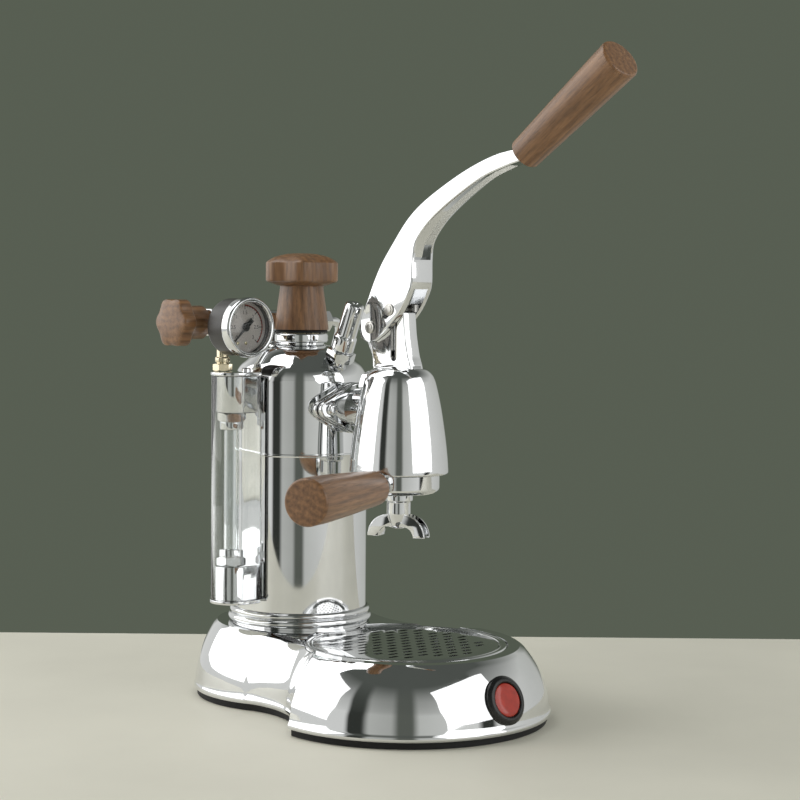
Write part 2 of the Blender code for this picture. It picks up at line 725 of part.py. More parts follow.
def bulged(start, end, sag_share, count):
    """Points from start to end along an arc whose middle lies to the left of the way."""
    chord = Vector(end) - Vector(start)
    half = chord.length / 2.0
    sag = chord.length * sag_share
    radius = (half * half + sag * sag) / (2.0 * sag)
    side = Vector((-chord.y, chord.x)).normalized()
    centre = (Vector(start) + Vector(end)) / 2.0 - side * (radius - sag)
    sweep = math.asin(half / radius)
    middle = math.atan2(side.y, side.x)
    spread = [middle + sweep - 2.0 * sweep * i / (count - 1) for i in range(count)]
    return [(centre.x + radius * math.cos(t), centre.y + radius * math.sin(t)) for t in spread]


def base_outline(inset):
    """The base's plan: a back lobe, a front lobe and a hollow waist on each side."""
    back = BACK_LOBE_RADIUS - inset * BACK_INSET_SHARE
    front = FRONT_LOBE_RADIUS - inset
    rear = arc((0.0, 0.0), back, -BACK_CORNER_ANGLE, math.pi + BACK_CORNER_ANGLE, 14)
    fore = arc((0.0, -LOBE_DISTANCE), front, math.pi - FRONT_CORNER_ANGLE,
               2.0 * math.pi + FRONT_CORNER_ANGLE, 17)
    left = bulged(rear[-1], fore[0], WAIST_SAG_SHARE, 6)[1:-1]
    right = [(-x, y) for x, y in reversed(left)]
    return rear + left + fore + right


def crown(y):
    """The base's height: it climbs a little from the front to the boiler."""
    front = -LOBE_DISTANCE - FRONT_LOBE_RADIUS
    share = (y - front) / (BACK_LOBE_RADIUS - front)
    return BASE_FRONT_HEIGHT + BASE_BACK_RISE * share


def base_skin(name, levels, wall, bottom, top_drop):
    """A loft up the base's side through the given levels."""
    rings = []
    for rise, inset in levels:
        plan = base_outline(TOP_INSET * inset + wall)
        rings.append([(x, y, bottom + rise * (crown(y) - top_drop - bottom)) for x, y in plan])
    return loft(name, rings)


def make_base():
    """The pressed cover, its bottom plate and the black band it stands on."""
    bottom = FOOT_HEIGHT + GAP
    shell = base_skin("base_shell", BASE_LEVEL_SHARES, 0.0, bottom, 0.0)
    inside = guide(base_skin("base_hollow", INNER_LEVEL_SHARES, BASE_WALL, bottom - OVERRUN, BASE_WALL))
    combine(shell, inside)
    combine(shell, guide(drum("boiler_hole", FLANGE_SKIRT_RADIUS + GAP, FLANGE_SKIRT_BOTTOM - OVERRUN,
                              FLANGE_TOP, FINE_STEPS)))
    gland = drum("gland_hole", GLAND_RADIUS + GAP, -GLAND_LENGTH, GLAND_LENGTH)
    combine(shell, guide(gland, (0.0, BACK_LOBE_RADIUS, GLAND_HEIGHT), FACING_FRONT))
    window = block("switch_hole", (SWITCH_DEPTH * 2.0, SWITCH_WIDTH + 2.0 * GAP, SWITCH_TALL + 2.0 * GAP))
    combine(shell, guide(window, (FRONT_LOBE_RADIUS, SWITCH_Y, SWITCH_HEIGHT)))
    stud = drum("badge_hole", BADGE_DISC_RADIUS / 2.0 + GAP, -OVERRUN * 2.0, OVERRUN * 2.0)
    combine(shell, guide(stud, badge_place(0.0), (math.radians(90.0) - BADGE_LEAN, 0.0, 0.0)))
    mouth = TRAY_RADIUS + GRID_LEDGE / 2.0
    well = turned("tray_well", [
        (0.0, FLANGE_TOP), (TRAY_RIM_RADIUS + GAP, FLANGE_TOP), (TRAY_RIM_RADIUS + GAP, TRAY_SEAT_HEIGHT),
        (mouth, TRAY_SEAT_HEIGHT), (mouth, TRAY_SEAT_HEIGHT - TRAY_DEPTH),
        (0.0, TRAY_SEAT_HEIGHT - TRAY_DEPTH)],
        FINE_STEPS)
    combine(well, guide(drum("flange_land", FLANGE_RADIUS, FLANGE_SKIRT_BOTTOM - 2.0 * TRAY_DEPTH,
                             FLANGE_TOP + OVERRUN, FINE_STEPS)))
    combine(shell, guide(well, (0.0, -LOBE_DISTANCE, 0.0)))
    keep(smooth(shell, math.radians(30.0)), "base_shell", CHROME, 0.05, 1.0)

    plan = base_outline(FOOT_INSET)
    inner = base_outline(FOOT_INSET + FOOT_WIDTH)
    band = slab("foot_band", plan, 0.0, FOOT_HEIGHT)
    combine(band, guide(slab("foot_band_middle", inner, -OVERRUN, FOOT_HEIGHT + OVERRUN)))
    keep(smooth(band), "foot_band", BLACK, 0.6)
    plate = slab("bottom_plate", base_outline(PLATE_INSET), FOOT_HEIGHT + GAP,
                 FOOT_HEIGHT + GAP + PLATE_THICKNESS)
    keep(plate, "bottom_plate", STEEL, 0.4, 1.0)


def badge_place(out):
    """A point on the badge's axis, out metres in front of the cover."""
    y = -LOBE_DISTANCE - FRONT_LOBE_RADIUS + TOP_INSET * BADGE_SINK_SHARE - out * math.cos(BADGE_LEAN)
    return (0.0, y, BADGE_HEIGHT + out * math.sin(BADGE_LEAN))


def make_badge():
    """A black ring with a bare enamel disc, held by a stud through the cover."""
    tilt = (math.radians(90.0) - BADGE_LEAN, 0.0, 0.0)
    top = BADGE_STAND + BADGE_THICKNESS
    inner = BADGE_DISC_RADIUS + GAP
    ring = turned("badge_ring", [
        (inner, top), (BADGE_RING_RADIUS - BADGE_EDGE, top), (BADGE_RING_RADIUS, top - BADGE_EDGE),
        (BADGE_RING_RADIUS, BADGE_STAND), (inner, BADGE_STAND)], MID_STEPS, closed=True)
    keep(ring, "badge_ring", BLACK, 0.35, 0.0, badge_place(0.0), tilt)
    stud = BADGE_DISC_RADIUS / 2.0
    disc = turned("badge_disc", [
        (0.0, top - BADGE_EDGE / 2.0), (BADGE_DISC_RADIUS, top - BADGE_EDGE),
        (BADGE_DISC_RADIUS, BADGE_STAND),
        (stud, BADGE_STAND), (stud, -OVERRUN), (0.0, -OVERRUN)], MID_STEPS)
    keep(disc, "badge_disc", (0.55, 0.03, 0.02), 0.25, 0.0, badge_place(0.0), tilt)


def make_tray():
    """The drip tray hangs by its rim, and the slotted grid lies on its ledge."""
    low = TRAY_SEAT_HEIGHT + GAP
    rim_top = low + TRAY_RIM_THICKNESS
    floor = low - TRAY_DEPTH
    ledge = rim_top - GRID_THICKNESS
    mouth = GRID_RADIUS + GAP
    bore = TRAY_RADIUS - GRID_LEDGE
    tray = turned("drip_tray", [
        (0.0, rim_top), (mouth, rim_top), (mouth + TRAY_WALL, rim_top + TRAY_BEAD),
        (TRAY_RIM_RADIUS - TRAY_WALL, rim_top + TRAY_BEAD),
        (TRAY_RIM_RADIUS, rim_top), (TRAY_RIM_RADIUS, low), (TRAY_RADIUS, low),
        (TRAY_RADIUS, floor + TRAY_CORNER),
        (TRAY_RADIUS - TRAY_CORNER, floor), (0.0, floor)], FINE_STEPS)
    notch = FLANGE_RADIUS + TRAY_NOTCH_CLEAR
    combine(tray, guide(drum("tray_notch", notch, floor - OVERRUN, FLANGE_TOP, FINE_STEPS)))
    hollow = turned("tray_hollow", [
        (0.0, rim_top + OVERRUN), (mouth, rim_top + OVERRUN), (mouth, ledge), (bore, ledge),
        (bore, floor + TRAY_CORNER), (bore - TRAY_CORNER, floor + TRAY_WALL), (0.0, floor + TRAY_WALL)],
        FINE_STEPS)
    combine(hollow, guide(drum("notch_wall", notch + TRAY_WALL, floor - 2.0 * OVERRUN, FLANGE_TOP + OVERRUN,
                               FINE_STEPS)))
    combine(tray, guide(hollow, (0.0, -LOBE_DISTANCE, 0.0)))
    keep(tray, "drip_tray", CHROME, 0.08, 1.0, (0.0, -LOBE_DISTANCE, 0.0))

    grid = drum("drip_grid", GRID_RADIUS, ledge + GAP, ledge + GAP + GRID_THICKNESS, FINE_STEPS)
    shape = bmesh.new()
    reach = GRID_RADIUS - SLOT_MARGIN
    rows = int(reach / SLOT_ROW_PITCH)
    for row in range(-rows, rows + 1):
        y = row * SLOT_ROW_PITCH
        shift = SLOT_PITCH / 2.0 if row % 2 else 0.0
        half = math.sqrt(reach * reach - y * y)
        count = int((half + shift) / SLOT_PITCH) + 1
        for column in range(-count, count + 1):
            x = column * SLOT_PITCH + shift
            if abs(x) + SLOT_LENGTH / 2.0 > half:
                continue
            if math.hypot(x, y - LOBE_DISTANCE) < FLANGE_RADIUS + SLOT_LENGTH:
                continue
            made = bmesh.ops.create_cube(shape, size=1.0)
            bmesh.ops.scale(shape, verts=made["verts"], vec=(SLOT_LENGTH, SLOT_WIDTH, OVERRUN * 2.0))
            bmesh.ops.translate(shape, verts=made["verts"], vec=(x, y, ledge))
    combine(grid, guide(from_bmesh(shape, "grid_slots"), (0.0, -LOBE_DISTANCE, 0.0)))
    flat = -(notch + TRAY_WALL + GAP)
    beyond = [(-GRID_RADIUS, flat), (GRID_RADIUS, flat), (GRID_RADIUS, 0.0), (-GRID_RADIUS, 0.0)]
    combine(grid, guide(slab("grid_flat", beyond, ledge - OVERRUN, FLANGE_TOP)))
    keep(grid, "drip_grid", CHROME, 0.12, 1.0, (0.0, -LOBE_DISTANCE, 0.0))


def boiler_shoulder(radius, low, high, inner):
    """The boiler's rounded shoulder, from its neck down to its side."""
    return [(inner + (radius - inner) * out, high - (high - low) * fall) for out, fall in SHOULDER_SHARES]


def make_boiler():
    """The pressure vessel on its stepped foot flange, with every port cut through its wall."""
    side = BOILER_RADIUS
    bore = BOILER_RADIUS - BOILER_WALL
    outside = [(NECK_RADIUS, NECK_TOP)] + boiler_shoulder(side, BOILER_SHOULDER, BOILER_TOP, NECK_RADIUS)
    outside += [(side, SEAM_HEIGHT + SEAM_HALF), (side + SEAM_PROUD, SEAM_HEIGHT),
                (side, SEAM_HEIGHT - SEAM_HALF),
                (side, BOILER_BOTTOM)]
    inside = boiler_shoulder(bore, BOILER_SHOULDER, BOILER_TOP - BOILER_WALL, NECK_BORE)
    inside = [(BOILER_BOTTOM_HOLE, BOILER_BOTTOM), (BOILER_BOTTOM_HOLE, BOILER_BOTTOM + BOILER_WALL),
              (bore, BOILER_BOTTOM + BOILER_WALL)] + list(reversed(inside))[::2] + [(NECK_BORE, NECK_TOP)]
    shell = turned("boiler_shell", outside + inside, FINE_STEPS, closed=True)
    root = math.sqrt(BOILER_RADIUS ** 2 - PORT_BOSS_RADIUS ** 2) - BOILER_WALL / 2.0
    boss = drum("port_boss", PORT_BOSS_RADIUS, root, -FLANGE_FACE - GAP, SMALL_STEPS)
    join(shell, guide(boss, (0.0, 0.0, GROUP_Z), FACING_FRONT))
    port = drum("hot_water_port", PORT_RADIUS, BOILER_RADIUS / 2.0, -FLANGE_FACE + OVERRUN, TINY_STEPS)
    combine(shell, guide(port, (0.0, 0.0, GROUP_Z), FACING_FRONT))
    for z in (SIGHT_LOW_ARM, SIGHT_HIGH_ARM):
        port = drum("sight_port", SIGHT_ARM_RADIUS + GAP, BOILER_RADIUS / 2.0, BOILER_RADIUS + OVERRUN,
                    TINY_STEPS)
        combine(shell, guide(port, (0.0, 0.0, z), (0.0, math.radians(-90.0), 0.0)))
    foot = drum("valve_port", VALVE_FOOT_RADIUS + GAP, VALVE_SEAT - VALVE_Z - VALVE_PORT_CUT, 0.0,
                SMALL_STEPS)
    combine(shell, guide(foot, (0.0, VALVE_Y, VALVE_Z)))
    seat = drum("valve_spot_face", VALVE_FOOT_FLANGE + GAP, -(VALVE_Z - VALVE_SEAT), 0.0, SMALL_STEPS)
    combine(shell, guide(seat, (0.0, VALVE_Y, VALVE_Z)))
    lean = (SAFETY_LEAN, 0.0, 0.0)
    hole = drum("safety_bore", SAFETY_STEM_RADIUS + GAP, -SAFETY_CUT, OVERRUN * 2.0,
                TINY_STEPS)
    combine(shell, guide(hole, (0.0, SAFETY_Y, SAFETY_Z), lean))
    face = drum("safety_spot_face", SAFETY_SPOT_RADIUS, 0.0, SAFETY_SPOT_RISE, SMALL_STEPS)
    combine(shell, guide(face, (0.0, SAFETY_Y, SAFETY_Z), lean))
    keep(smooth(shell), "boiler_shell", CHROME, 0.05, 1.0)

    inner = BOILER_RADIUS + GAP
    ring = turned("boiler_flange", [
        (inner, FLANGE_TOP), (inner + FLANGE_STEP, FLANGE_TOP - FLANGE_STEP / 2.0),
        (FLANGE_RADIUS - FLANGE_STEP, FLANGE_TOP - 2.0 * FLANGE_STEP),
        (FLANGE_RADIUS - FLANGE_STEP, FLANGE_TOP - FLANGE_GROOVE),
        (FLANGE_RADIUS, FLANGE_TOP - FLANGE_BAND), (FLANGE_RADIUS, FLANGE_SEAT),
        (FLANGE_SKIRT_RADIUS, FLANGE_SEAT),
        (FLANGE_SKIRT_RADIUS, FLANGE_SKIRT_BOTTOM), (FLANGE_BORE, FLANGE_SKIRT_BOTTOM),
        (FLANGE_BORE, BOILER_BOTTOM - GAP), (inner, BOILER_BOTTOM - GAP)], FINE_STEPS, closed=True)
    keep(ring, "boiler_flange", CHROME, 0.06, 1.0)
    collar = turned("neck_collar", [
        (NECK_RADIUS + 2.0 * GAP, NECK_TOP), (COLLAR_RADIUS - GAP, NECK_TOP),
        (COLLAR_RADIUS, NECK_TOP - FLANGE_STEP),
        (COLLAR_RADIUS, BOILER_TOP + FLANGE_STEP), (NECK_RADIUS + 2.0 * GAP, BOILER_TOP + FLANGE_STEP)],
        MID_STEPS, closed=True)
    keep(collar, "neck_collar", CHROME, 0.05, 1.0)


def make_heater():
    """The looped element on its flange, the thermostat and the pressure switch under it."""
    top = BOILER_BOTTOM - GAP
    low = top - ELEMENT_FLANGE_THICKNESS
    foot = BOILER_BOTTOM - GAP
    path = [(-ELEMENT_SPREAD, 0.0, low + ELEMENT_TUBE), (-ELEMENT_SPREAD, 0.0, ELEMENT_TOP)]
    path += [(x, 0.0, z) for x, z in arc((0.0, ELEMENT_TOP), ELEMENT_SPREAD, math.pi, 0.0, 9)][1:]
    path += [(ELEMENT_SPREAD, 0.0, low + ELEMENT_TUBE)]
    flange = drum("element_flange", ELEMENT_FLANGE_RADIUS, low, foot, MID_STEPS)
    element = smooth(pipe("heating_element", path, ELEMENT_TUBE, 1))
    join(element, guide(flange))
    keep(element, "heating_element", STEEL, 0.3, 1.0)
    stat = drum("thermostat", THERMOSTAT_RADIUS, low - GAP - THERMOSTAT_HEIGHT, low - GAP, SMALL_STEPS,
                chamfer=FLANGE_STEP)
    keep(stat, "thermostat", (0.85, 0.85, 0.82), 0.5)
    deck = FOOT_HEIGHT + GAP + PLATE_THICKNESS + GAP
    neck = PRESSURESTAT_NECK
    dome, side = PRESSURESTAT_DOME_SHARES
    body = turned("pressure_switch", [
        (0.0, deck + PRESSURESTAT_HEIGHT), (neck, deck + PRESSURESTAT_HEIGHT),
        (neck, deck + PRESSURESTAT_HEIGHT * dome), (PRESSURESTAT_RADIUS, deck + PRESSURESTAT_HEIGHT * side),
        (PRESSURESTAT_RADIUS, deck), (0.0, deck)], SMALL_STEPS)
    keep(body, "pressure_switch", STEEL, 0.35, 1.0, (0.0, PRESSURESTAT_Y, 0.0))


def make_cord_gland():
    """The gland that the cord comes in by, at the back of the base."""
    start = -GLAND_LENGTH + OVERRUN
    gland = turned("cord_gland", [
        (GLAND_BORE, OVERRUN), (GLAND_RADIUS, OVERRUN), (GLAND_FLANGE, OVERRUN / 2.0),
        (GLAND_FLANGE, GLAND_FACE),
        (GLAND_RADIUS, GLAND_FACE), (GLAND_RADIUS, start), (GLAND_BORE, start)], SMALL_STEPS, closed=True)
    keep(gland, "cord_gland", BLACK, 0.6, 0.0, (0.0, BACK_LOBE_RADIUS, GLAND_HEIGHT),
         (math.radians(-90.0), 0.0, 0.0))


def make_switch():
    """A rocker in its housing, through the cover on the operator's right."""
    face = FRONT_LOBE_RADIUS + SWITCH_RIM_OUT
    housing = block("switch_housing", (SWITCH_DEPTH, SWITCH_WIDTH, SWITCH_TALL),
                    (-SWITCH_DEPTH / 2.0, 0.0, 0.0))
    rim = block("switch_rim", (SWITCH_RIM_THICKNESS, SWITCH_WIDTH + 2.0 * SWITCH_RIM,
                               SWITCH_TALL + 2.0 * SWITCH_RIM),
                (SWITCH_RIM_THICKNESS / 2.0 - GAP, 0.0, 0.0))
    join(housing, guide(rim, (face, SWITCH_Y, SWITCH_HEIGHT)))
    pocket = block("switch_pocket", (
        SWITCH_DEPTH, SWITCH_WIDTH - 2.0 * SWITCH_WALL, SWITCH_TALL - 2.0 * SWITCH_WALL))
    combine(housing, guide(pocket, (face, SWITCH_Y, SWITCH_HEIGHT)))
    keep(housing, "switch_housing", BLACK, 0.45, 0.0, (face, SWITCH_Y, SWITCH_HEIGHT))
    half = SWITCH_WIDTH / 2.0 - SWITCH_WALL - ROCKER_RUN
    tall = SWITCH_TALL - 2.0 * (SWITCH_WALL + ROCKER_RUN)
    low = -ROCKER_DEPTH
    tip = half * math.sin(ROCKER_HALF_ANGLE)
    heel, reach = half * ROCKER_HEEL_SHARE, half * ROCKER_TIP_SHARE
    outline = [(low, -heel), (tip + GAP, -reach), (GAP, 0.0), (tip + GAP, reach), (low, heel)]
    rocker = slab("switch_rocker", outline, -tall / 2.0, tall / 2.0)
    keep(rocker, "switch_rocker", BLACK, 0.3, 0.0, (face, SWITCH_Y, SWITCH_HEIGHT),
         (0.0, 0.0, -ROCKER_HALF_ANGLE))


def make_cap():
    """The filler cap: gasket, threaded insert and wooden hand wheel."""
    seat = NECK_TOP + GAP
    top = CAP_STEM_BOTTOM - GAP
    gasket = tube("cap_gasket", CAP_GASKET_RADIUS, NECK_BORE, seat, top, MID_STEPS)
    keep(gasket, "cap_gasket", BLACK, 0.7)
    plug = NECK_BORE - RUNNING
    flange_top = CAP_STEM_BOTTOM + CAP_INSERT_THICKNESS
    insert = turned("cap_insert", [
        (0.0, CAP_SPINDLE_TOP), (CAP_SPINDLE, CAP_SPINDLE_TOP), (CAP_SPINDLE, flange_top),
        (CAP_INSERT_FLANGE, flange_top), (CAP_INSERT_FLANGE, CAP_STEM_BOTTOM), (plug, CAP_STEM_BOTTOM),
        (plug, CAP_STEM_BOTTOM - CAP_PLUG_LENGTH), (plug - FLANGE_STEP,
                                                    CAP_STEM_BOTTOM - CAP_PLUG_LENGTH - FLANGE_STEP),
        (0.0, CAP_STEM_BOTTOM - CAP_PLUG_LENGTH - FLANGE_STEP)], SMALL_STEPS)
    keep(insert, "cap_insert", BRASS, 0.3, 1.0)

    wheel, stem = CAP_WHEEL_RADIUS, CAP_STEM_TOP_RADIUS
    tall = CAP_TOP - CAP_STEM_TOP
    foot = CAP_STEM_BOTTOM_RADIUS
    rows = [(foot, CAP_STEM_BOTTOM, 0.0), (foot, CAP_STEM_BOTTOM + tall * CAP_FOOT_SHARE, 0.0),
            (stem, CAP_STEM_TOP, 0.0)]
    rows += [(wheel * out, CAP_STEM_TOP + tall * rise, lobe) for out, rise, lobe in CAP_WHEEL_SHARES]
    knob = lobed_wheel("cap_knob", rows, CAP_LOBES, CAP_LOBE_DEPTH, 4)
    pocket = turned("cap_pocket", [
        (0.0, CAP_SPINDLE_TOP + GAP), (CAP_SPINDLE + GAP, CAP_SPINDLE_TOP + GAP),
        (CAP_SPINDLE + GAP, flange_top + GAP),
        (CAP_INSERT_FLANGE + GAP, flange_top + GAP), (CAP_INSERT_FLANGE + GAP, CAP_STEM_BOTTOM - OVERRUN),
        (0.0, CAP_STEM_BOTTOM - OVERRUN)], SMALL_STEPS)
    combine(knob, guide(pocket))
    keep(smooth(knob, math.radians(40.0)), "cap_knob", WALNUT, 0.35)


def make_steam_valve():
    """The valve's body lies across the boiler's top; its knob is on the operator's left."""
    here = (0.0, VALVE_Y, VALVE_Z)
    body = drum("steam_valve_body", VALVE_RADIUS, VALVE_LEFT, VALVE_RIGHT, SMALL_STEPS,
                chamfer=FLANGE_STEP / 2.0)
    belly = drum("valve_block", VALVE_BLOCK_RADIUS, -VALVE_BLOCK_HALF, VALVE_BLOCK_HALF, SMALL_STEPS,
                 chamfer=FLANGE_STEP)
    join(body, guide(belly, here, LYING_ALONG_X))
    foot = turned("valve_foot", [
        (0.0, 0.0), (VALVE_FOOT_RADIUS, 0.0), (VALVE_FOOT_RADIUS, VALVE_SEAT + GAP + FLANGE_STEP - VALVE_Z),
        (VALVE_FOOT_FLANGE, VALVE_SEAT + GAP + FLANGE_STEP - VALVE_Z),
        (VALVE_FOOT_FLANGE, VALVE_SEAT + GAP - VALVE_Z),
        (VALVE_FOOT_RADIUS, VALVE_SEAT + GAP - VALVE_Z),
        (VALVE_FOOT_RADIUS, VALVE_SEAT - VALVE_FOOT_DEPTH - VALVE_Z),
        (0.0, VALVE_SEAT - VALVE_FOOT_DEPTH - VALVE_Z)], SMALL_STEPS)
    join(body, guide(foot, here))
    bore = drum("valve_spindle_bore", SPINDLE_RADIUS + RUNNING, VALVE_LEFT - OVERRUN,
                SPINDLE_INNER + OVERRUN, TINY_STEPS)
    combine(body, guide(bore, here, LYING_ALONG_X))
    keep(smooth(body), "steam_valve_body", CHROME, 0.08, 1.0, here, LYING_ALONG_X)

    nut_end = VALVE_LEFT - GAP
    nut = hexagon("steam_gland_nut", GLAND_NUT_ACROSS, nut_end - GLAND_NUT_LENGTH, nut_end, FLANGE_STEP / 2.0)
    hole = drum("gland_nut_bore", SPINDLE_RADIUS + RUNNING, nut_end - GLAND_NUT_LENGTH - OVERRUN,
                nut_end + OVERRUN,
                TINY_STEPS)
    combine(nut, guide(hole, here, LYING_ALONG_X))
    keep(nut, "steam_gland_nut", CHROME, 0.1, 1.0, here, LYING_ALONG_X)
    spindle_end = STEAM_KNOB_WHEEL_START
    spindle = drum("steam_spindle", SPINDLE_RADIUS, spindle_end, SPINDLE_INNER, TINY_STEPS,
                   chamfer=FLANGE_STEP / 2.0)
    keep(spindle, "steam_spindle", BRASS, 0.3, 1.0, here, LYING_ALONG_X)

    start = -STEAM_KNOB_STEM_START
    shoulder = -STEAM_KNOB_WHEEL_START
    face = -STEAM_KNOB_FACE
    deep = face - shoulder
    wheel = STEAM_KNOB_RADIUS
    rows = [(STEAM_KNOB_STEM_RADIUS, start, 0.0), (STEAM_KNOB_STEM_WAIST, shoulder, 0.0)]
    rows += [(wheel * out, shoulder + deep * rise, lobe) for out, rise, lobe in STEAM_WHEEL_SHARES]
    knob = lobed_wheel("steam_knob", rows, STEAM_KNOB_LOBES, STEAM_KNOB_LOBE_DEPTH, 4)
    socket = drum("knob_socket", SPINDLE_RADIUS + RUNNING, start - OVERRUN, -spindle_end + GAP, TINY_STEPS)
    outward = (0.0, math.radians(-90.0), 0.0)
    combine(knob, guide(socket, here, outward))
    keep(smooth(knob, math.radians(40.0)), "steam_knob", WALNUT, 0.35, 0.0, here, outward)


def make_wand():
    """The steam wand swivels about the valve's axis; at rest it leans back behind the boiler."""
    here = (0.0, VALVE_Y, VALVE_Z)
    near = VALVE_RIGHT + GAP
    far = near + WAND_NUT_LENGTH
    nut = hexagon("wand_nut", WAND_NUT_ACROSS, near, far, FLANGE_STEP / 2.0)
    hole = drum("wand_nut_bore", WAND_RADIUS + RUNNING, near - OVERRUN, far + OVERRUN, TINY_STEPS)
    combine(nut, guide(hole, here, LYING_ALONG_X))
    keep(nut, "wand_nut", CHROME, 0.1, 1.0, here, LYING_ALONG_X)
    reach = far + WAND_REACH
    path = [(near + GAP, 0.0, 0.0)]
    path += [(x, 0.0, z) for x, z in arc((reach - WAND_BEND, -WAND_BEND), WAND_BEND, math.pi / 2.0, 0.0, 7)]
    path += [(reach, 0.0, -WAND_LENGTH)]
    wand = smooth(pipe("steam_wand", path, WAND_RADIUS))
    lean = (WAND_LEAN, 0.0, 0.0)
    low = -WAND_LENGTH
    tip = turned("wand_tip", [
        (0.0, low + FLANGE_STEP), (WAND_TIP_RADIUS, low + FLANGE_STEP),
        (WAND_TIP_RADIUS, low - WAND_TIP_LENGTH * WAND_TIP_STRAIGHT_SHARE),
        (WAND_RADIUS, low - WAND_TIP_LENGTH), (0.0, low - WAND_TIP_LENGTH)], SMALL_STEPS)
    place = Vector(here) + Matrix.Rotation(WAND_LEAN, 3, "X") @ Vector((reach, 0.0, 0.0))
    join(wand, guide(tip, place, lean))
    bore = drum("wand_tip_bore", WAND_TIP_BORE, low - WAND_TIP_LENGTH - OVERRUN, low, TINY_STEPS)
    combine(wand, guide(bore, place, lean))
    keep(wand, "steam_wand", CHROME, 0.06, 1.0, here, lean)


def make_safety_valve():
    """The relief valve leans forward on the shoulder: nut and stem, then a tapered cap."""
    here = (0.0, SAFETY_Y, SAFETY_Z)
    lean = (SAFETY_LEAN, 0.0, 0.0)
    start = GAP
    nut_top = start + SAFETY_NUT_LENGTH
    base = hexagon("safety_valve_nut", SAFETY_NUT_ACROSS, start, nut_top, FLANGE_STEP / 2.0)
    stem = drum("safety_stem", SAFETY_STEM_RADIUS, -SAFETY_STEM_DEPTH, nut_top + SAFETY_NUT_LENGTH,
                TINY_STEPS)
    join(base, guide(stem, here, lean))
    keep(base, "safety_valve_nut", CHROME, 0.1, 1.0, here, lean)
    low = nut_top + GAP
    cap = turned("safety_valve_cap", [
        (0.0, SAFETY_TOP), (SAFETY_TIP_RADIUS - FLANGE_STEP, SAFETY_TOP),
        (SAFETY_TIP_RADIUS, SAFETY_TOP - FLANGE_STEP),
        (SAFETY_BODY_RADIUS, low + SAFETY_NUT_LENGTH / 2.0), (SAFETY_BODY_RADIUS, low),
        (SAFETY_STEM_RADIUS + GAP, low), (SAFETY_STEM_RADIUS + GAP, nut_top + SAFETY_NUT_LENGTH + GAP),
        (0.0, nut_top + SAFETY_NUT_LENGTH + GAP)], SMALL_STEPS)
    keep(cap, "safety_valve_cap", CHROME, 0.06, 1.0, here, lean)


def rounded_front(radius, back, points=13):
    """A plan with a half-round front toward -X and straight legs back to the boiler."""
    outline = arc((BLOCK_CENTRE_X, 0.0), radius, math.pi / 2.0, 3.0 * math.pi / 2.0, points)
    return outline + [(back, -radius), (back, radius)]


